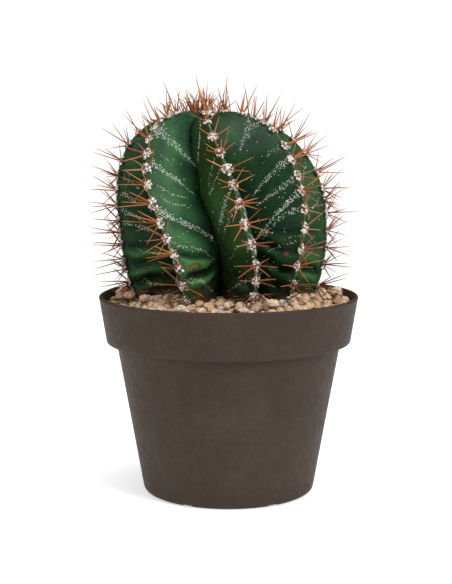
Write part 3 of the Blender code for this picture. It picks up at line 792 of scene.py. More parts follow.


# painted highlights on the swellings: (rib, side, level, fall towards the furrow, share, half width, half height,
# amount)
PAINTED_HIGHLIGHT_SPOTS = [(1, 1, 0.2010, 0.016, 0.36, 0.34, 0.0065, 1.0), (1, 1, 0.1825, 0.004, 0.30, 0.26, 0.0050, 0.95),
          (1, 1, 0.1655, 0.004, 0.45, 0.26, 0.0035, 0.75), (1, 1, 0.2270, 0.02, 0.40, 0.40, 0.012, 0.55),
          (1, 1, 0.2450, 0.02, 0.50, 0.35, 0.014, 0.50), (1, 1, 0.2800, 0.01, 0.55, 0.40, 0.0060, 0.65),
          (3, -1, 0.2865, 0.01, 0.60, 0.35, 0.0050, 0.75), (3, -1, 0.2700, 0.02, 0.80, 0.20, 0.010, 0.45),
          (3, -1, 0.1830, 0.010, 0.40, 0.22, 0.0040, 0.45), (3, -1, 0.1680, 0.010, 0.55, 0.25, 0.0040, 0.40),
          (0, 1, 0.1850, 0.004, 0.50, 0.30, 0.0040, 0.50), (0, 1, 0.1720, 0.004, 0.45, 0.30, 0.0035, 0.50),
          (2, -1, 0.1950, 0.02, 0.35, 0.25, 0.010, 0.35), (2, -1, 0.2250, 0.03, 0.55, 0.25, 0.014, 0.40),
          (4, -1, 0.2400, 0.02, 0.40, 0.40, 0.012, 0.40)]


def skin_surface(rib, side, share, tau):
    """The finished skin: positions and the values that drive its colours."""
    base = flank_point(rib, side, share, tau)
    e = 0.004
    du = flank_point(rib, side, np.clip(share + 0.01, 0, 1), tau) - flank_point(rib, side, np.clip(share - 0.01, 0, 1), tau)
    dv = flank_point(rib, side, share, tau + e) - flank_point(rib, side, share, tau - e)
    n = unit(np.cross(du, dv) * -side[:, None])
    r, z, nr, nz = crest_profile(tau)
    axis = np.stack([lean(z), 0 * z, z * 0 + base[:, 2]], -1)
    flip = ((n * (base - axis)).sum(-1) + 0.02 * n[:, 2] * (z > 0.27)) < 0
    n = np.where(flip[:, None], -n, n)
    # on the crest line itself the normal is the rib's outward direction
    a = np.radians(crest_bearing(rib, z))
    crest_n = unit(np.stack([nr * np.sin(a), -nr * np.cos(a), nz], -1))
    w = np.exp(-(share / 0.05) ** 2)[:, None]
    n = unit(n * (1 - w) + crest_n * w)
    # and in the furrow it is the outward direction between the two flanks
    a = np.radians(furrow_bearing(np.where(side > 0, rib, rib - 1), z))
    w = np.exp(-((1 - share) / 0.07) ** 2)[:, None]
    n = unit(n * (1 - w) + np.stack([nr * np.sin(a), -nr * np.cos(a), nz], -1) * w)
    size = np.clip(r / STEM_R, 0.05, 1)

    # crease and swelling pattern
    relief = np.zeros(len(share))
    body = np.sin(np.pi * np.clip(share, 0, 1) ** 0.85)
    for k, sd, level, rise, depth, half, s0, s1 in CREASES:
        on = (rib == k) & ((side == sd) | (share < 1e-6))
        if not on.any():
            continue
        wav = 0.0012 * np.sin(9 * share + 40 * level * 10)
        x = (z - (level + rise * share + wav)) / half
        envelope = np.clip((share - s0 * 0.5) / 0.14, 0, 1) * np.clip((s1 + 0.08 - share) / 0.16, 0, 1)
        envelope = envelope * np.clip(0.85 + 0.7 * noise(np.stack([share * 3.1, 0 * z + level * 900, z * 30], -1), 13), 0.25, 1.25)
        cut = np.where(x > 0, np.exp(-np.abs(x) ** 1.15), np.exp(-np.abs(x * 1.35) ** 1.6))
        lip = 0.55 * np.exp(-((x + 1.9) / 1.1) ** 2) + 0.30 * np.exp(-((x - 2.1) / 1.2) ** 2)
        relief = relief + on * envelope * depth * (lip - cut)
    relief = relief * (0.35 + 0.65 * body)
    low = np.clip((0.215 - z) / 0.05, 0, 1)
    key = np.stack([rib * 3.7 + side * 1.3, share * 2.2, z * 62 + share * 1.2 * np.where(side > 0, -1, 1)], -1)
    sweep = fbm(key, 2, 11) * body
    broad = fbm(base * 34, 2, 5)
    move = relief + sweep * (0.0009 + 0.0010 * low) * size + broad * 0.0011 * size * np.clip(share * 3, 0.15, 1)
    move = move + fbm(base * 260, 2, 21) * 0.00012
    # the furrow is a crisp crease between two full flanks
    away = 1 - share
    move = move - 0.0013 * np.exp(-(away / 0.022) ** 2) * size + 0.0006 * np.exp(-((away - 0.085) / 0.05) ** 2) * size

    # the crest swells between areoles and is notched under each one
    notch = np.zeros(len(share))
    for k in range(8):
        on = rib == k
        if on.any() and len(AREOLE_Z[k]):
            d = np.abs(tau[on][:, None] - np.array(TAUS[k])[None]).min(1)
            speed = 0.085
            notch[on] = np.exp(-(d * speed / 0.0030) ** 2)
    move = move + (0.0006 - 0.0015 * notch) * np.exp(-(share / 0.10) ** 2) * size
    p = base + n * move[:, None]

    # painted light: highlight on the crease lips and shade down in the creases, varied by the sweep noise
    fold_light_and_shade = np.clip(0.5 + relief / 0.0042 + sweep * 0.22, 0, 1)
    # painted highlights on the swellings
    painted_highlight = np.zeros(len(share))
    for k, sd, level, fall, at, hs, hz, amount in PAINTED_HIGHLIGHT_SPOTS:
        on = (rib == k) & (side == sd)
        q = ((share - at) / hs) ** 2 + ((z - level + fall * (share - at)) / hz) ** 2
        painted_highlight = np.maximum(painted_highlight, on * amount * np.exp(-q))
    # painted shade: the right-front rib's left flank, the centre rib's left flank low down, the far-left rib's right
    # flank, and the stem's foot towards the furrows
    painted_flank_shade = np.where((rib == 3) & (side < 0), 0.62 + 0.38 * np.clip((0.215 - z) / 0.03, 0, 1), 0.0) + np.where((rib == 2) & (side < 0), 0.85 * np.clip((0.215 - z) / 0.04, 0, 1), 0)
    painted_flank_shade = painted_flank_shade + np.where((rib == 0) & (side > 0), 0.45, 0.0) + 0.75 * np.clip((0.166 - z) / 0.014, 0, 1) * np.clip(share * 1.4 - 0.2, 0, 1)
    painted_flank_shade = np.clip(painted_flank_shade, 0, 1)
    scar = np.zeros(len(share))
    for k, sd, level, at, hz, hs, kind in SCARS:
        on = (rib == k) & (side == sd)
        q = np.sqrt(((z - level) / hz) ** 2 + ((share - at) / hs) ** 2)
        q = q + 0.18 * fbm(base * 420, 2, 31)
        value = np.exp(-((q - 1) / 0.22) ** 2) if kind == "ring" else np.clip((1.15 - q) / 0.3, 0, 1)
        scar = np.maximum(scar, on * value)
    # cork creeps up from the soil on the oldest part of the ribs
    cork_low = np.clip((0.158 - z + 0.004 * fbm(base * 150, 2, 41)) / 0.006, 0, 1)
    specks = np.clip((noise(base * 300, 51) - 0.74) / 0.08, 0, 1) * np.clip((0.225 - z) / 0.06, 0, 1)
    scar = np.clip(scar + cork_low * 0.75 * np.clip(1.2 - share, 0, 1) + specks * 0.6, 0, 1)
    p = p + n * (scar * -0.00035)[:, None]
    corky = np.exp(-(share / 0.018) ** 2) * np.clip(0.75 + 0.5 * fbm(base * 200, 2, 61), 0, 1)
    olive = np.where(side < 0, 0.30, 0.04) * np.clip(1.1 - np.abs(rib - 2) * 0.55, 0.12, 1)
    olive = np.where((rib == 2) & (side < 0), 0.88, olive) * np.clip(1.15 - 0.35 * share, 0, 1)
    olive = olive + 0.45 * np.clip((0.19 - z) / 0.03, 0, 1) * np.clip(fbm(base * 40, 2, 71) + 0.5, 0, 1)
    return p, n, {"share": share, "fold_light_and_shade": fold_light_and_shade, "scar": scar, "corky": corky, "olive": np.clip(olive, 0, 0.9), "painted_highlight": painted_highlight, "painted_flank_shade": painted_flank_shade}


# bands of white flecks, each running from near the crest down towards the furrow:
# rib, side, points of (share, level), strength, half width at the crest end in mm
BANDS = [
    (1, 1, ((0.04, 0.2816), (0.19, 0.2808), (0.555, 0.2789), (0.83, 0.2761), (1.00, 0.2715)), 1.35, 3.4),
    (1, 1, ((0.115, 0.2587), (0.34, 0.2537), (0.60, 0.2498), (0.885, 0.2397)), 1.30, 2.3),
    (1, 1, ((0.275, 0.2667), (0.48, 0.2618)), 0.35, 1.3),
    (1, 1, ((0.205, 0.2411), (0.435, 0.2364), (0.73, 0.2344)), 0.70, 1.2),
    (1, 1, ((0.22, 0.2335), (0.375, 0.2278), (0.62, 0.2273)), 0.70, 1.6),
    (1, 1, ((0.07, 0.2234), (0.315, 0.2173), (0.64, 0.2099), (0.955, 0.1984)), 1.30, 2.4),
    (1, 1, ((0.05, 0.2198), (0.295, 0.2154), (0.71, 0.2057), (1.00, 0.1933)), 1.00, 1.2),
    (1, 1, ((0.065, 0.1990), (0.305, 0.1987), (0.49, 0.1987)), 0.35, 0.4),
    (1, 1, ((0.145, 0.1966), (0.425, 0.1942), (0.67, 0.1885), (0.875, 0.1774)), 0.85, 0.8),
    (1, 1, ((0.07, 0.1705), (0.33, 0.1698), (0.535, 0.1628), (0.765, 0.1517)), 0.70, 1.4),
    (2, -1, ((0.31, 0.2894), (0.445, 0.2805), (0.775, 0.2706)), 0.80, 1.2),
    (2, -1, ((0.24, 0.2621), (0.515, 0.2544), (0.635, 0.2372)), 0.55, 0.9),
    (2, -1, ((0.11, 0.2557), (0.415, 0.2471), (0.65, 0.2354)), 0.60, 0.9),
    (2, -1, ((0.105, 0.2382), (0.36, 0.2275), (0.645, 0.2135)), 0.75, 1.2),
    (2, -1, ((0.245, 0.2314), (0.50, 0.2184), (0.81, 0.2044)), 0.60, 1.0),
    (2, -1, ((0.04, 0.2260), (0.33, 0.2167), (0.615, 0.2041)), 0.70, 1.1),
    (2, -1, ((0.11, 0.1996), (0.365, 0.1951), (0.695, 0.1814)), 0.45, 0.7),
    (2, -1, ((0.19, 0.1710), (0.42, 0.1640), (0.715, 0.1527)), 0.45, 0.7),
    (3, -1, ((0.05, 0.2874), (0.225, 0.2863), (0.515, 0.2815), (0.64, 0.2770)), 1.20, 2.2),
    (3, -1, ((0.10, 0.2684), (0.23, 0.2671), (0.345, 0.2648)), 0.60, 0.9),
    (3, -1, ((0.065, 0.2584), (0.26, 0.2554), (0.545, 0.2469), (0.745, 0.2354)), 1.20, 1.9),
    (3, -1, ((0.045, 0.2458), (0.27, 0.2413), (0.525, 0.2339), (0.73, 0.2264)), 1.05, 2.1),
    (3, -1, ((0.055, 0.2350), (0.305, 0.2262), (0.54, 0.2150), (0.835, 0.2003)), 1.30, 2.1),
    (3, -1, ((0.05, 0.2232), (0.245, 0.2205), (0.50, 0.2126), (0.765, 0.1987)), 1.05, 1.8),
    (3, -1, ((0.03, 0.2044), (0.225, 0.2018), (0.345, 0.1993)), 0.30, 0.6),
    (3, -1, ((0.145, 0.1990), (0.435, 0.1945), (0.63, 0.1905), (0.825, 0.1830)), 0.50, 0.7),
    (0, 1, ((0.18, 0.2445), (0.36, 0.2432), (0.525, 0.2378)), 0.55, 1.2),
    (0, 1, ((0.18, 0.2333), (0.365, 0.2278), (0.51, 0.2239)), 0.75, 1.4),
    (0, 1, ((0.135, 0.2190), (0.355, 0.2161), (0.565, 0.2099)), 0.90, 1.4),
    (0, 1, ((0.15, 0.2099), (0.37, 0.2074), (0.58, 0.2034)), 0.90, 1.3),
    (0, 1, ((0.255, 0.1896), (0.55, 0.1843), (0.80, 0.1814)), 0.45, 0.8),
    (0, 1, ((0.20, 0.1642), (0.435, 0.1596), (0.695, 0.1547)), 0.85, 1.3),
    (4, -1, ((0.145, 0.2579), (0.355, 0.2489), (0.475, 0.2370)), 0.60, 1.0),
    (4, -1, ((0.185, 0.2267), (0.335, 0.2208), (0.44, 0.2114)), 0.60, 1.0),
]
rng = np.random.default_rng(204)
fixed = {(band[0], band[1]) for band in BANDS}
for k in range(8):
    for side in (-1, 1):
        if (k, side) in fixed:
            continue
        level = 0.2860 + rng.uniform(-0.003, 0.002)
        while level > 0.162:
            s0, s1 = rng.uniform(0.05, 0.16), rng.uniform(0.62, 0.98)
            drop = rng.uniform(0.022, 0.033) * float(np.clip((level - 0.150) / 0.085, 0.20, 1))
            line = [(s0 + (s1 - s0) * q, level - drop * q ** rng.uniform(1.0, 1.25)) for q in (0.0, 0.33, 0.66, 1.0)]
            BANDS.append((k, side, tuple(line), rng.choice([0.5, 0.85, 1.1, 1.3]), rng.uniform(0.9, 2.2)))
            level -= rng.uniform(0.008, 0.019)


def band_track(band, u):
    """Share and level along a band for u in 0..1."""
    line = np.array(band[2])
    stops = np.linspace(0, 1, len(line))
    return np.interp(u, stops, line[:, 0]), np.interp(u, stops, line[:, 1])


rr = np.repeat(np.arange(NR), NC)
cc = np.tile(np.arange(NC), NR)
g_rib, g_side, g_share, g_tau = col_rib[cc], col_side[cc], col_share[cc], TAU_ROWS[rr]
P, N, A = skin_surface(g_rib, g_side, g_share, g_tau)
band_glow = np.zeros(len(P))
_, g_z, _, _ = crest_profile(g_tau)
for band in BANDS:
    on = (g_rib == band[0]) & (g_side == band[1])
    line = np.array(band[2])
    level = np.interp(g_share[on], line[:, 0], line[:, 1])
    inside = (g_share[on] > line[0, 0] - 0.02) & (g_share[on] < line[-1, 0] + 0.02)
    band_glow[on] = np.maximum(band_glow[on], inside * band[3] * np.exp(-((g_z[on] - level) / (0.0008 * band[4])) ** 2))
A["band"] = band_glow
top = np.array([[lean(np.array(STEM_MID_Z + STEM_UP)), 0, STEM_MID_Z + STEM_UP - CROWN_DIP]])
bottom = np.array([[LEAN_0, 0, STEM_MID_Z - STEM_DOWN]])
verts = np.concatenate([P, top, bottom])
for key in A:
    A[key] = np.concatenate([A[key], [0.0, 0.0]])
i, j = np.meshgrid(np.arange(NR - 1), np.arange(NC), indexing="ij")
jn = (j + 1) % NC
quads = np.stack([i * NC + j, (i + 1) * NC + j, (i + 1) * NC + jn, i * NC + jn], -1).reshape(-1, 4)
j = np.arange(NC)
jn = (j + 1) % NC
caps = np.concatenate([np.stack([np.full(NC, NR * NC), j, jn], -1),
                       np.stack([(NR - 1) * NC + j, np.full(NC, NR * NC + 1), (NR - 1) * NC + jn], -1)])
skin = new_mesh("stem_skin", verts, [quads, caps], A, (MAT["skin"],))
skin.data.set_sharp_from_angle(angle=math.radians(42))
finish_piece(skin, "stem_skin", "cactus_stem")


def on_skin(rib, side, share, tau):
    n = len(share)
    return skin_surface(np.full(n, rib), np.full(n, side), np.asarray(share, float), np.asarray(tau, float))


# ---------------------------------------------------------------- white flecks
def dome(sides=6):
    """A low closed dome of unit radius."""
    a = np.arange(sides) * 2 * math.pi / sides
    v = np.concatenate([np.stack([np.cos(a), np.sin(a), 0 * a - 0.25], -1),
                        np.stack([0.62 * np.cos(a), 0.62 * np.sin(a), 0 * a + 0.42], -1), [[0, 0, 0.55], [0, 0, -0.25]]])
    f = []
    for q in range(sides):
        w = (q + 1) % sides
        f += [(q, w, sides + w), (q, sides + w, sides + q), (sides + q, sides + w, 2 * sides), (w, q, 2 * sides + 1)]
    return v, np.array(f)


DOME_V, DOME_F = dome()


def frames_from(n):
    side = unit(np.cross(n, np.array([0.12, 0.31, 0.94])))
    return side, np.cross(n, side)


rng = np.random.default_rng(31)
for k, rib_name in enumerate(RIB_NAMES):
    fr_share, fr_tau, fr_side, fr_size, fr_tone, fr_long = [], [], [], [], [], []
    for band in [b for b in BANDS if b[0] == k]:
        line = np.array(band[2])
        rise = (line[0, 1] - line[-1, 1]) * 1000
        run = (line[-1, 0] - line[0, 0]) * 34
        count = int(math.hypot(rise, run) * (1.3 + 2.1 * band[3] * (0.35 + 0.42 * band[4])))
        u = np.sort(rng.beta(0.95, 1.10, count))
        share, level = band_track(band, u)
        # broad near the crest, drawn out to a single dotted line at the furrow end
        width = band[4] * 0.00072 * (1.08 - u) ** 0.9 + 0.00014
        off = rng.normal(0, 1, len(u))
        off = np.sign(off) * np.abs(off) ** 0.8
        level = level + off * width
        share = share + rng.normal(0, 0.010, len(u))
        # short runs with bare gaps between
        key = np.stack([u * 14 + band[2][0][1] * 5000, level * 900, 0 * u], -1)
        ok = (noise(key, 3) > -0.42 - 0.25 * band[3]) & (share > 0.03) & (share < 1.0) & (level < 0.2930) & (level > 0.150)
        share, level = share[ok], level[ok]
        fr_share.append(share); fr_tau.append(tau_at(level)); fr_side.append(np.full(len(share), band[1]))
        fr_size.append(rng.uniform(0.00017, 0.00034, len(share)) * (0.85 + 0.20 * band[3]))
        fr_tone.append(np.clip(rng.normal((0.32 if k == 3 else 0.52) + 0.30 * band[3], 0.20, len(share)), 0, 1))
    # a fine dotted line down the furrow on the rib's right
    level = np.arange(0.1560, 0.2860, 0.00115) + rng.normal(0, 0.00025, 114)[:len(np.arange(0.1560, 0.2860, 0.00115))]
    level = level[noise(np.stack([level * 160, 0 * level + k * 3.1, 0 * level], -1), 8) > -0.35]
    fr_share.append(np.clip(0.972 + rng.normal(0, 0.007, len(level)), 0.94, 0.995)); fr_tau.append(tau_at(level)); fr_side.append(np.ones(len(level), int))
    fr_size.append(rng.uniform(0.00010, 0.00019, len(level))); fr_tone.append(rng.uniform(0.1, 0.5, len(level)))
    strays = 90
    fr_share.append(rng.uniform(0.06, 0.9, strays)); fr_tau.append(tau_at(rng.uniform(0.165, 0.290, strays)))
    fr_side.append(rng.choice([-1, 1], strays)); fr_size.append(rng.uniform(0.00014, 0.00036, strays))
    fr_tone.append(rng.uniform(0.2, 0.9, strays))
    share, tau, side, size, tone = map(np.concatenate, (fr_share, fr_tau, fr_side, fr_size, fr_tone))
    p, n, _ = skin_surface(np.full(len(share), k), side, share, tau)
    # flecks keep apart, so that they read as separate dots and dashes
    cell = {}
    keep = np.zeros(len(p), bool)
    for i, q in enumerate(p):
        c = tuple((q // 0.0009).astype(int))
        near = [o for dx in (-1, 0, 1) for dy in (-1, 0, 1) for dz in (-1, 0, 1) for o in cell.get((c[0] + dx, c[1] + dy, c[2] + dz), ())]
        if all(((q - o) ** 2).sum() > 0.00072 ** 2 for o in near):
            cell.setdefault(c, []).append(q)
            keep[i] = True
    p, n, share, tau, size, tone = p[keep], n[keep], share[keep], tau[keep], size[keep], tone[keep]
    sx, sy = frames_from(n)
    turn = rng.uniform(0, math.pi, len(share))
    stretch = rng.uniform(0.9, 2.4, len(share))
    ax = sx * np.cos(turn)[:, None] + sy * np.sin(turn)[:, None]
    ay = np.cross(n, ax)
    v = (p[:, None] + size[:, None, None] * (DOME_V[None, :, 0, None] * ax[:, None] * stretch[:, None, None]
         + DOME_V[None, :, 1, None] * ay[:, None] + DOME_V[None, :, 2, None] * n[:, None]))
    f = DOME_F[None] + (np.arange(len(share)) * len(DOME_V))[:, None, None]
    flecks = new_mesh("flecks_" + rib_name, v.reshape(-1, 3), f.reshape(-1, 3),
                      {"tone": np.repeat(tone, len(DOME_V))}, (MAT["fleck"],))
    finish_piece(flecks, "stem_skin", "cactus_stem")

# ------------------------------------------------------- wool, crests, spines
WOOL2, WOOL2_F = lumps(2, 24, 0.42, 1.9, 5)
WOOL1, WOOL1_F = lumps(1, 16, 0.30, 1.7, 9)


def wool_clump(heap, p, n, t, b, size, tall, rng, count=22, clean=1.0):
    """Felted tufts round a dark centre, as an areole wears them."""
    core = WOOL2[rng.integers(len(WOOL2))] * np.array([0.86, 0.86 * tall, 0.50]) * size
    heap.add(p + core[:, :1] * b + core[:, 1:2] * t + core[:, 2:] * n, WOOL2_F, tone=rng.uniform(0.02, 0.16))
    for i in range(count):
        a = 2.4 * i + rng.uniform(-0.5, 0.5)
        rad = math.sqrt((i + 0.6) / count)
        h = math.sqrt(max(0.0, 1 - 0.92 * rad * rad))
        at = p + size * (rad * math.cos(a) * b + rad * math.sin(a) * tall * t + (0.62 * h - 0.12) * n)
        r = size * rng.uniform(0.13, 0.26)
        shape = (WOOL2[rng.integers(len(WOOL2))] * np.array([1.0, 1.0, rng.uniform(1.0, 1.7)])) @ spin(rng).T * r
        tone = rng.uniform(0.55, 0.88) if rng.random() < 0.72 * clean else rng.uniform(0.02, 0.36)
        heap.add(at + shape, WOOL2_F, tone=tone)
    for i in range(int(count * 0.8)):
        d = unit(rng.normal(size=3) + 0.9 * n)
        side = rng.uniform(-1, 1, 2)
        start = p + size * (0.75 * side[0] * b + 0.75 * side[1] * tall * t + 0.30 * n)
        length = size * rng.uniform(0.45, 0.85)
        bendy = unit(np.cross(d, rng.normal(size=3)))
        u = np.linspace(0, 1, 4)[:, None]
        pts = start + d * length * u + bendy * length * 0.35 * u * u
        v, q, tr = tube(pts, [size * 0.055, size * 0.05, size * 0.04, size * 0.015], 4)
        heap.add(v, q, tr, tone=rng.uniform(0.45, 0.85))


def spine(heap, base, d, length, radius, rng, tone, bend=None, sides=7):
    """One needle: thick and dark at its foot, running out to a fine pale point."""
    u = np.array([0.0, 0.04, 0.12, 0.25, 0.42, 0.60, 0.77, 0.90, 1.0])
    side = unit(np.cross(d, rng.normal(size=3)))
    bend = rng.normal(0, 0.035) if bend is None else bend
    pts = base + d * (length * u)[:, None] + side * (bend * length * u**2)[:, None]
    radii = radius * ((1 - u) ** 0.60 * (1 + 0.28 * np.exp(-(u / 0.07) ** 2))) + 0.00006
    v, q, t = tube(pts, radii, sides)
    along = np.concatenate([np.repeat(u, sides), [0.0, 1.0]])
    heap.add(v, q, t, along=along, tone=tone)


def local_dir(n, t, b, around, lift):
    """around: degrees from straight up the rib towards its right; lift: degrees off the skin."""
    a, e = math.radians(around), math.radians(lift)
    return unit(math.cos(e) * (-math.cos(a) * t + math.sin(a) * b) + math.sin(e) * n)


RADIAL = (-64, 60, -97, 99, 14, -143, 148, -28)
# the longest and clearest needles: rib: (areole, around, lift, length in mm)
LEADERS = {
    0: ((3, -68, 60, 27), (4, -88, 70, 25), (4, 80, 45, 22), (5, 72, 60, 24.5), (6, -84, 55, 24.5), (6, 48, 55, 24.5), (7, -108, 55, 24),
        (7, 92, 65, 24), (9, 84, 55, 29), (10, -108, 40, 22), (10, 68, 60, 26), (11, -104, 55, 28), (11, -52, 50, 19), (13, -76, 50, 27), (13, 68, 55, 29)),
    1: ((0, -80, 65, 28), (0, -52, 55, 13), (0, 92, 55, 22), (0, 64, 50, 9), (0, -176, 45, 17), (1, -44, 50, 11), (1, -24, 50, 12.5), (1, 140, 45, 20),
        (2, -60, 75, 23), (2, -48, 45, 13), (2, 116, 50, 17.5), (2, -176, 50, 9), (3, -60, 55, 14), (3, 144, 65, 20), (4, -52, 45, 16), (4, -40, 50, 26), (4, 4, 45, 17), (5, -136, 45, 21), (5, -72, 40, 17), (6, -104, 50, 17),
        (6, -48, 35, 13), (7, -72, 40, 21), (7, -56, 35, 20), (7, -32, 45, 18.5), (8, -72, 45, 25), (8, -60, 50, 22), (8, -48, 35, 24), (8, -32, 35, 18),
        (9, -60, 35, 27), (9, -36, 50, 26), (9, -20, 45, 18.5), (10, -28, 30, 14), (10, -8, 50, 23), (11, -68, 40, 20), (11, -48, 50, 18.5),
        (11, -28, 40, 15.5), (12, -64, 35, 13), (12, -32, 50, 18), (13, -60, 45, 22), (13, -24, 30, 23), (13, 100, 25, 22), (13, 168, 45, 13)),
    2: ((0, -20, 45, 27), (1, -108, 35, 15.5), (1, -8, 45, 26), (1, 8, 35, 23), (1, 68, 40, 13), (2, -80, 45, 14), (2, 36, 40, 14), (2, 112, 45, 16),
        (3, -92, 45, 15.5), (3, 24, 40, 9), (3, 88, 40, 13), (4, -56, 30, 18), (4, 96, 40, 22), (4, 136, 45, 22), (5, -92, 40, 13), (5, 88, 45, 18.5),
        (5, 152, 50, 14), (6, -112, 40, 13), (6, 88, 45, 16), (6, 104, 45, 17), (6, 124, 45, 16), (7, -120, 45, 20), (7, -76, 45, 24), (7, 88, 40, 18.5),
        (7, 120, 45, 23), (8, -68, 45, 18.5), (8, 96, 45, 18.5), (8, 112, 45, 14), (9, -96, 35, 22), (9, -72, 30, 22), (9, 96, 40, 16), (9, 136, 40, 12.5),
        (10, -72, 40, 22), (10, 60, 50, 17)),
    3: ((14, -128, 70, 29), (14, -108, 50, 19), (14, -96, 50, 24), (14, 80, 45, 20), (0, -44, 50, 11), (0, 56, 45, 18.5), (0, 60, 45, 23.5),
        (0, 112, 70, 25), (1, -124, 50, 22), (1, 48, 50, 20), (2, -124, 55, 13), (2, 8, 55, 16), (2, 64, 60, 26), (3, 20, 50, 20), (3, 24, 50, 12),
        (3, 104, 65, 28), (3, 104, 50, 20), (4, 96, 55, 27), (5, 60, 30, 18.5),
        (5, 68, 35, 24.5), (5, 80, 40, 17), (5, 92, 55, 29), (6, 84, 45, 17), (6, 124, 45, 12), (7, 56, 45, 28), (7, 84, 45, 16), (7, 112, 40, 13),
        (8, 84, 25, 15.5), (8, 124, 50, 12.5), (9, -8, 55, 22), (9, 88, 40, 11), (9, 156, 40, 9), (10, 56, 25, 20), (10, 68, 40, 15.5), (10, 100, 40, 14),
        (11, -88, 15, 24), (11, -88, 25, 19), (11, 48, 50, 19), (11, 80, 50, 11), (12, -84, 15, 19), (12, -80, 60, 21), (12, 80, 35, 18)),
    4: ((2, 40, 60, 20), (2, 64, 55, 17), (3, -140, 50, 12.5), (3, 92, 55, 21.5), (3, 100, 55, 22), (3, 64, 50, 20), (5, 88, 80, 27), (5, 124, 45, 28), (6, -112, 55, 26), (6, 144, 45, 18.5), (8, 88, 65, 27), (8, 116, 45, 21.5), (9, 100, 50, 20), (10, 104, 50, 23),
        (11, -72, 50, 26), (12, 20, 45, 26), (12, 48, 45, 25))}
for k, rib_name in enumerate(RIB_NAMES):
    rng = np.random.default_rng(900 + k)
    taus = np.array(TAUS[k])
    p, n, t, b = crest_frame(np.full(len(taus), k), taus)
    wool, needles = Heap(), Heap()
    for i in range(len(taus)):
        z = p[i, 2]
        old = float(np.clip((0.215 - z) / 0.06, 0, 1))
        young = float(np.clip((z - 0.262) / 0.028, 0, 1))
        size = (0.0036 - 0.0003 * old - 0.0008 * young) * rng.uniform(0.90, 1.10)
        wool_clump(wool, p[i] - n[i] * 0.0004, n[i], t[i], b[i], size, 1.16 - 0.12 * old, rng, 32, 1.0 - 0.30 * old)
        led = [x for x in LEADERS.get(k, ()) if x[0] == i]
        for _, around, lift, mm in led:
            d = local_dir(n[i], t[i], b[i], around, lift)
            base = p[i] + n[i] * 0.0006 + (math.sin(math.radians(around)) * b[i] - math.cos(math.radians(around)) * t[i]) * size * 0.35
            tone = np.clip(rng.normal(0.52 - 0.30 * old, 0.13), 0, 1)
            spine(needles, base, d, mm / 1000, rng.uniform(0.00046, 0.00056), rng, tone, bend=rng.normal(0, 0.022))
        count = int(rng.integers(5, 8)) + (k in (0, 4, 5, 7)) - int(round(3.4 * young)) - (2 if len(led) > 1 else 0) - (1 if k == 2 else 0)
        if k in LEADERS and young > 0.5 and rng.random() < 0.6:
            count = 0
        order = rng.permutation(len(RADIAL))
        for j in order[:max(count, 0)]:
            if any(abs((RADIAL[j] - x[1] + 180) % 360 - 180) < 26 for x in led):
                continue
            around = RADIAL[j] * (1 - 0.30 * young) + rng.normal(0, 9)
            lift = rng.uniform(22, 46) + 16 * young
            length = rng.uniform(0.0125, 0.0215) * (1 - 0.15 * young - 0.08 * old)
            if abs(RADIAL[j]) < 40 or abs(RADIAL[j]) > 130 or k == 2:
                length *= 0.78
            if k in (0, 4, 5, 7) and young < 0.5:
                length *= 1.16
            d = local_dir(n[i], t[i], b[i], around, lift)
            base = p[i] + n[i] * 0.0006 + (math.sin(math.radians(around)) * b[i] - math.cos(math.radians(around)) * t[i]) * size * 0.35
            tone = np.clip(rng.normal(0.50 - 0.34 * old, 0.16), 0, 1)
            spine(needles, base, d, length, rng.uniform(0.00034, 0.00045), rng, tone)
        if k not in (1, 2, 3) or rng.random() < 0.3:
            d = local_dir(n[i], t[i], b[i], rng.choice([-1, 1]) * rng.uniform(10, 80), rng.uniform(58, 82))
            spine(needles, p[i] + n[i] * 0.0008 + rng.normal(0, 0.0006, 3), d, rng.uniform(0.0165, 0.0265), rng.uniform(0.00040, 0.00050),
                  rng, np.clip(rng.normal(0.45 - 0.30 * old, 0.15), 0, 1))
    # the corky line along the crest between the areoles
    grid = np.arange(taus.min() - 0.02, 2.05, 0.012)
    p, n, t, b = crest_frame(np.full(len(grid), k), grid)
    wav = fbm(p * 330, 2, 17)
    centre = p - n * 0.00045 + b * (0.0005 * fbm(p * 210, 2, 19))[:, None]
    low = np.clip((0.200 - p[:, 2]) / 0.03, 0, 1)
    radius = (0.00050 + 0.00012 * low) * (1 + 0.45 * wav)
    v, q, tr = tube(centre, np.clip(radius, 0.0002, 0.0016), 8)
    tone = np.repeat(np.clip(0.95 - 0.72 * low + 0.10 * wav, 0.15, 1.0), 8)
    wool.add(v, q, tr, tone=np.concatenate([tone, tone[:1], tone[-1:]]))
    for i in range(len(grid)):
        if rng.random() < 0.22 + 0.3 * low[i]:
            shape = WOOL1[rng.integers(len(WOOL1))] @ spin(rng).T * rng.uniform(0.0003, 0.0007)
            at = centre[i] + b[i] * rng.normal(0, 0.0006) + n[i] * 0.0003 + t[i] * rng.uniform(-0.0005, 0.0005)
            wool.add(at + shape, WOOL1_F, tone=np.clip((0.82 if low[i] < 0.4 else 0.24) + rng.normal(0, 0.14), 0.05, 1))
    node = "spine_row_" + rib_name
    finish_piece(wool.build("wool_" + rib_name, (MAT["wool"],)), "spines", node)
    finish_piece(needles.build("spines_" + rib_name, (MAT["spine"],)), "spines", node)

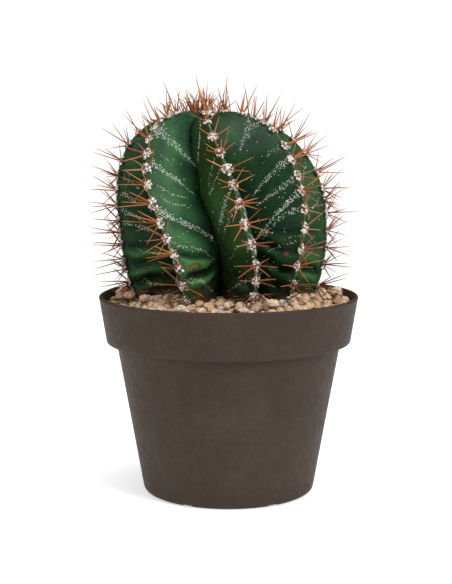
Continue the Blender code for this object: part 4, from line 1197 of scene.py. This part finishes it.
# the crown: young wool with a dense upright tuft, and a smaller one behind it
wool, needles = Heap(), Heap()
rng = np.random.default_rng(71)
crown = np.array([lean(np.array(0.2925)), 0.0, STEM_MID_Z + STEM_UP - CROWN_DIP])
up, right, away = np.array([0, 0, 1.0]), np.array([1.0, 0, 0]), np.array([0, 1.0, 0])
wool_clump(wool, crown - up * 0.001, up, away, right, 0.0068, 1.0, rng, 60, 0.80)
for (x, y, spread, count, reach) in ((-0.0072, -0.001, 0.0052, 30, 0.0225), (0.0072, 0.003, 0.0030, 12, 0.0150), (-0.0125, 0.004, 0.003, 6, 0.0150)):
    at = crown + right * x + away * y
    wool_clump(wool, at - up * 0.001, up, away, right, spread * 0.75, 1.0, rng, 18, 0.75)
    for i in range(count):
        a, rad = rng.uniform(0, 2 * math.pi), math.sqrt(rng.random())
        off = rad * spread * np.array([math.cos(a), math.sin(a), 0])
        d = unit(up * 1.0 + np.array([math.cos(a), math.sin(a), 0]) * rad * 0.62 + rng.normal(0, 0.10, 3))
        dark = x < -0.005 and rad < 0.62
        spine(needles, at + off, d, reach * rng.uniform(0.60, 1.0) * (0.80 if dark else 1.0), rng.uniform(0.00034, 0.00045), rng,
              rng.uniform(0.0, 0.22) if dark else np.clip(rng.normal(0.58, 0.16), 0, 1))
for x, z, lean_x, lean_y, mm, tone in ((-0.0034, 0.003, -0.21, -0.05, 27.5, 0.30), (-0.0014, 0.002, 0.05, 0.0, 22.5, 0.38), (-0.0030, 0.001, -0.02, -0.08, 21, 0.75),
                                       (0.0001, 0.003, 0.15, 0.02, 14, 0.25), (-0.0060, 0.003, -0.54, 0.0, 19.5, 0.60), (-0.0053, 0.003, -0.50, -0.1, 16, 0.70),
                                       (-0.0068, 0.002, -0.83, 0.0, 17.5, 0.45), (-0.0060, 0.002, -0.77, 0.1, 18, 0.55), (-0.0068, 0.003, -0.70, -0.1, 14.5, 0.50),
                                       (-0.0007, 0.005, 0.70, 0.1, 10, 0.15), (-0.0025, 0.001, 0.03, -0.15, 17, 0.80), (-0.0040, 0.001, -0.12, -0.1, 18, 0.70)):
    d = np.array([lean_x, lean_y, math.sqrt(max(0.05, 1 - lean_x**2 - lean_y**2))])
    spine(needles, crown + np.array([x, -0.001, z]), unit(d), mm / 1000, 0.00050, rng, tone, bend=0.01)
finish_piece(wool.build("wool_crown", (MAT["wool"],)), "spines", "crown_spines")
finish_piece(needles.build("spines_crown", (MAT["spine"],)), "spines", "crown_spines")

# ---------------------------------------------------------------------- stones
def stone_shapes(level, count, seed):
    """Worn pumice lumps: rounded, a little faceted, none alike."""
    v, f = ICO[level]
    rng = np.random.default_rng(seed)
    out = []
    for i in range(count):
        w = v * (1 + 0.20 * fbm(v * 1.15 + 9.7 * (i + seed), 2, seed))[:, None]
        for _ in range(rng.integers(4, 8)):
            d = unit(rng.normal(size=3))
            over = np.maximum(0, w @ d - rng.uniform(0.66, 0.84))
            w = w - over[:, None] * d * 0.85
        w = w * (1 + 0.075 * fbm(v * 3.6 + 3.1 * i, 2, seed + 3) + 0.050 * fbm(v * 9 + 5.3 * i, 2, seed + 5))[:, None]
        lo, hi = w.min(0), w.max(0)
        w = (w - (lo + hi) / 2) / ((hi - lo) / 2)
        out.append(w)
    return out, f


STONES4, STONES4_F = stone_shapes(4, 24, 2)
STONES3, STONES3_F = stone_shapes(3, 40, 40)
STONES2, STONES2_F = stone_shapes(2, 16, 80)


def wall_inside(z):
    return band_outer(z) - WALL


def stem_outline(z, count=360):
    """The stem's radius about the pot's axis in each direction at a level."""
    tau = float(tau_at(np.array(z)))
    ring = []
    for k in range(8):
        for side in (-1, 1):
            s = share_row[::-1] if side < 0 else share_row[1:]
            ring.append(flank_point(np.full(len(s), k), np.full(len(s), side), s, np.full(len(s), tau)))
    ring = np.concatenate(ring)
    angle = np.arctan2(ring[:, 0], -ring[:, 1])
    radius = np.hypot(ring[:, 0], ring[:, 1])
    order = np.argsort(angle)
    grid = np.linspace(-math.pi, math.pi, count, endpoint=False)
    return grid, np.interp(grid, angle[order], radius[order], period=2 * math.pi)


EDGE_ANGLE, EDGE_R = stem_outline(0.1505)


def edge_at(angle):
    return np.interp(angle, EDGE_ANGLE, EDGE_R, period=2 * math.pi)


def gravel_top(r):
    """The gravel's surface: level with the step at the wall, heaped against the stem."""
    return 0.1492 + 0.0078 * np.clip((0.0950 - r) / 0.032, 0, 1) ** 1.2


loose = []
for i in range(1, 25):
    node = "loose_stone_%02d" % i
    lo, hi = (np.array(c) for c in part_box(node))
    mid, half = (lo + hi) / 2, (hi - lo) / 2
    rng = np.random.default_rng(300 + i)
    v = STONES4[i - 1] * half + mid
    # painted shade: the lower part of each stone is darker
    stone = new_mesh("pumice_%02d" % i, v, [STONES4_F],
                     {"tint": np.full(len(v), rng.uniform(0, 0.95)), "shade": np.clip((mid[2] + 0.05 * half[2] - v[:, 2]) / (half[2] * 0.7), 0, 1)}, (MAT["stone"],))
    finish_piece(stone, "pumice_stones", node)
    loose.append((mid, half.max()))

rng = np.random.default_rng(4242)
beds = [Heap() for _ in range(4)]
placed = [(m[0], m[1], m[2], h) for m, h in loose]


def scatter(tries, r_lo, r_hi, sink, gap, shapes, faces, tone_and_depth_shade_of, inner=0.0):
    """Stones dropped at random where there is room for them."""
    added = 0
    for _ in range(tries):
        a = rng.uniform(-math.pi, math.pi)
        size = rng.uniform(r_lo, r_hi)
        near, far = edge_at(a) + size * 0.35 + inner, wall_inside(0.149) - size * 1.02
        if far <= near:
            continue
        r = math.sqrt(rng.uniform(near**2, far**2))
        x, y = r * math.sin(a), -r * math.cos(a)
        half = np.array([size, size * rng.uniform(0.74, 0.98), size * rng.uniform(0.62, 0.90)])
        z = gravel_top(r) - half[2] - sink + rng.normal(0, 0.0005)
        # a hollow full of litter at the foot of the left-hand rib
        z -= 0.0046 * math.exp(-((math.degrees(a) + 88) / 20) ** 2) * min(1.0, max(0.0, (0.0945 - r) / 0.006))
        if placed:
            q = np.array(placed)
            d = np.sqrt((q[:, 0] - x) ** 2 + (q[:, 1] - y) ** 2 + (q[:, 2] - z) ** 2)
            if (d < (q[:, 3] + size) * gap).any():
                continue
        placed.append((x, y, z, size))
        turn = rng.uniform(0, 2 * math.pi)
        tip = rng.normal(0, 0.30, 2)
        c, s = math.cos(turn), math.sin(turn)
        rot = np.array([[c, -s, 0], [s, c, 0], [0, 0, 1]]) @ np.array([[1, 0, tip[0]], [0, 1, tip[1]], [-tip[0], -tip[1], 1]])
        v = (shapes[rng.integers(len(shapes))] * half) @ rot.T + (x, y, z)
        over = np.hypot(v[:, 0], v[:, 1]) / (wall_inside(0.149) - 0.0003)
        v[:, :2] = np.where((over > 1)[:, None], v[:, :2] / over[:, None], v[:, :2])
        # painted shade: the lower part of each stone, and every stone sunk below the gravel's top, is darker
        low = np.clip((z + half[2] * 0.05 - v[:, 2]) / (half[2] * 0.70), 0, 1) + np.clip((gravel_top(r) - 0.0040 - v[:, 2]) / 0.0030, 0, 1)
        beds[int((a + math.pi) / (2 * math.pi) * 4) % 4].add(v, faces, tint=rng.uniform(0, 1), shade=np.clip(tone_and_depth_shade_of(z) + low, 0, 1))
        added += 1
    return added


# each stone gets a random darkening, with more painted shade the deeper its layer lies
n1 = scatter(12000, 0.0035, 0.0051, 0.0000, 0.84, STONES3, STONES3_F, lambda z: rng.uniform(0, 0.15))
n2 = scatter(7000, 0.0026, 0.0038, 0.0030, 0.74, STONES3, STONES3_F, lambda z: rng.uniform(0.1, 0.35))
n3 = scatter(5000, 0.0012, 0.0022, 0.0034, 0.70, STONES2, STONES2_F, lambda z: rng.uniform(0.1, 0.45))
print("stones", n1, n2, n3)
for i, bed in enumerate(beds):
    finish_piece(bed.build("pumice_bed_%d" % (i + 1), (MAT["stone"],)), "pumice_stones", "gravel_bed")

# the dark grit between and under the stones
GA, GR = 720, 26
ga = np.arange(GA) * 2 * math.pi / GA - math.pi
inner_r = edge_at(ga) + 0.0003
wall_r = wall_inside(0.1425) - 0.0003
layers = []
w = np.linspace(0, 1, GR)
rr2 = inner_r[None] + (wall_r - inner_r[None]) * w[:, None]
xx, yy = rr2 * np.sin(ga)[None], -rr2 * np.cos(ga)[None]
flat = np.stack([xx.ravel(), yy.ravel(), 0 * xx.ravel()], -1)
zz = gravel_top(rr2).ravel() - 0.0062 + 0.0011 * fbm(flat * 330, 3, 88) + 0.0006 * np.abs(noise(flat * 900, 90))
top_v = np.column_stack([flat[:, :2], zz])
bottom_v = np.column_stack([flat[:, :2], np.full(len(zz), 0.1358)])[[*range(GA), *range((GR - 1) * GA, GR * GA)]]
verts = np.concatenate([top_v, bottom_v])
i, j = np.meshgrid(np.arange(GR - 1), np.arange(GA), indexing="ij")
jn = (j + 1) % GA
top_f = np.stack([i * GA + j, (i + 1) * GA + j, (i + 1) * GA + jn, i * GA + jn], -1).reshape(-1, 4)
j = np.arange(GA)
jn = (j + 1) % GA
N0 = GR * GA
inner_f = np.stack([j, jn, N0 + jn, N0 + j], -1)
outer_f = np.stack([(GR - 1) * GA + j, N0 + GA + j, N0 + GA + jn, (GR - 1) * GA + jn], -1)
floor_f = np.stack([N0 + j, N0 + jn, N0 + GA + jn, N0 + GA + j], -1)
grit = new_mesh("grit_bed", verts, [np.concatenate([top_f, inner_f, outer_f, floor_f])], mats=(MAT["soil"],))
finish_piece(grit, "potting_mix", "gravel_bed")

# ------------------------------------------------------------ dry litter
litter = Heap()
rng = np.random.default_rng(515)
for bearing, spread, count in ((-84, 13, 90), (-58, 10, 14), (18, 7, 26), (44, 6, 10), (80, 12, 24), (130, 12, 14), (180, 14, 16), (228, 12, 18)):
    for _ in range(count):
        a = math.radians(bearing + rng.normal(0, spread))
        r = edge_at(a) + abs(rng.normal(0.003, 0.0035))
        r = min(r, wall_inside(0.149) - 0.012)
        at = np.array([r * math.sin(a), -r * math.cos(a), gravel_top(r) + rng.uniform(-0.0010, 0.0024)])
        turn = rng.uniform(0, 2 * math.pi)
        d = unit(np.array([math.cos(turn), math.sin(turn), rng.normal(0.05, 0.22)]))
        length = rng.uniform(0.005, 0.015)
        side = unit(np.cross(d, [0, 0, 1]))
        u = np.linspace(-0.5, 0.5, 6)[:, None]
        pts = at + d * length * u + side * length * rng.normal(0, 0.30) * u * u + np.array([0, 0, 1]) * (-0.25 * length * abs(d[2]) * u * u)
        rad = rng.uniform(0.00022, 0.00046)
        v, q, t = tube(pts, rad * np.array([0.35, 0.9, 1.1, 1.0, 0.8, 0.25]), 5)
        litter.add(v, q, t, tone=rng.uniform(0, 1))
finish_piece(litter.build("dry_litter", (MAT["debris"],)), "potting_mix", "gravel_bed")

# ------------------------------------------------------- floor, light, camera
scene = bpy.context.scene
floor_mesh = bpy.data.meshes.new("floor")
floor_mesh.from_pydata([(-0.9, -0.9, 0), (0.9, -0.9, 0), (0.9, 0.9, 0), (-0.9, 0.9, 0)], [], [(0, 1, 2, 3)])
floor = bpy.data.objects.new("floor", floor_mesh)
COLL.objects.link(floor)
fs = Shade("floor_paper", 0.9)
fs.bsdf.inputs["Base Color"].default_value = (0.90, 0.90, 0.90, 1)
fs.bsdf.inputs["Specular IOR Level"].default_value = 0.0
fs.bsdf.inputs["Emission Color"].default_value = (1, 1, 1, 1)
fs.bsdf.inputs["Emission Strength"].default_value = 0.45
floor_mesh.materials.append(fs.mat)
floor.location.z = -0.0002

world = bpy.data.worlds.new("studio")
scene.world = world
world.use_nodes = True
wt = world.node_tree
bg = wt.nodes["Background"]
bg.inputs["Color"].default_value = (1, 1, 1, 1)
path = wt.nodes.new("ShaderNodeLightPath")
power = wt.nodes.new("ShaderNodeMapRange")
power.inputs["To Min"].default_value = 0.16
power.inputs["To Max"].default_value = 1.10
wt.links.new(path.outputs["Is Camera Ray"], power.inputs["Value"])
wt.links.new(power.outputs["Result"], bg.inputs["Strength"])


def softbox(name, at, target, size, watts, tint=(1, 1, 1)):
    data = bpy.data.lights.new(name, "AREA")
    data.shape, data.size, data.size_y = "RECTANGLE", size[0], size[1]
    data.energy, data.color = watts, tint
    lamp = bpy.data.objects.new(name, data)
    COLL.objects.link(lamp)
    lamp.location = at
    lamp.rotation_euler = (Vector(target) - Vector(at)).to_track_quat("-Z", "Y").to_euler()
    return lamp


softbox("key_right", (1.9, -1.7, 1.9), (0, 0, 0.18), (1.3, 1.8), 72)
softbox("fill_left", (-2.2, -1.5, 1.5), (0, 0, 0.18), (1.3, 1.8), 31)
softbox("overhead", (0.0, -0.1, 2.8), (0, 0, 0.2), (2.0, 2.0), 50)

cam_data = bpy.data.cameras.new("camera")
cam = bpy.data.objects.new("camera", cam_data)
COLL.objects.link(cam)
cam_data.sensor_width = 36.0
cam_data.lens = 84.48
cam.location = (-0.001978, -1.05136, 0.29576)
cam.rotation_euler = (math.radians(90 - 7.6588), 0, 0)
cam_data.clip_start, cam_data.clip_end = 0.05, 60
scene.camera = cam
scene.view_settings.view_transform = "Standard"
scene.view_settings.look = "None"

bpy.context.view_layer.update()
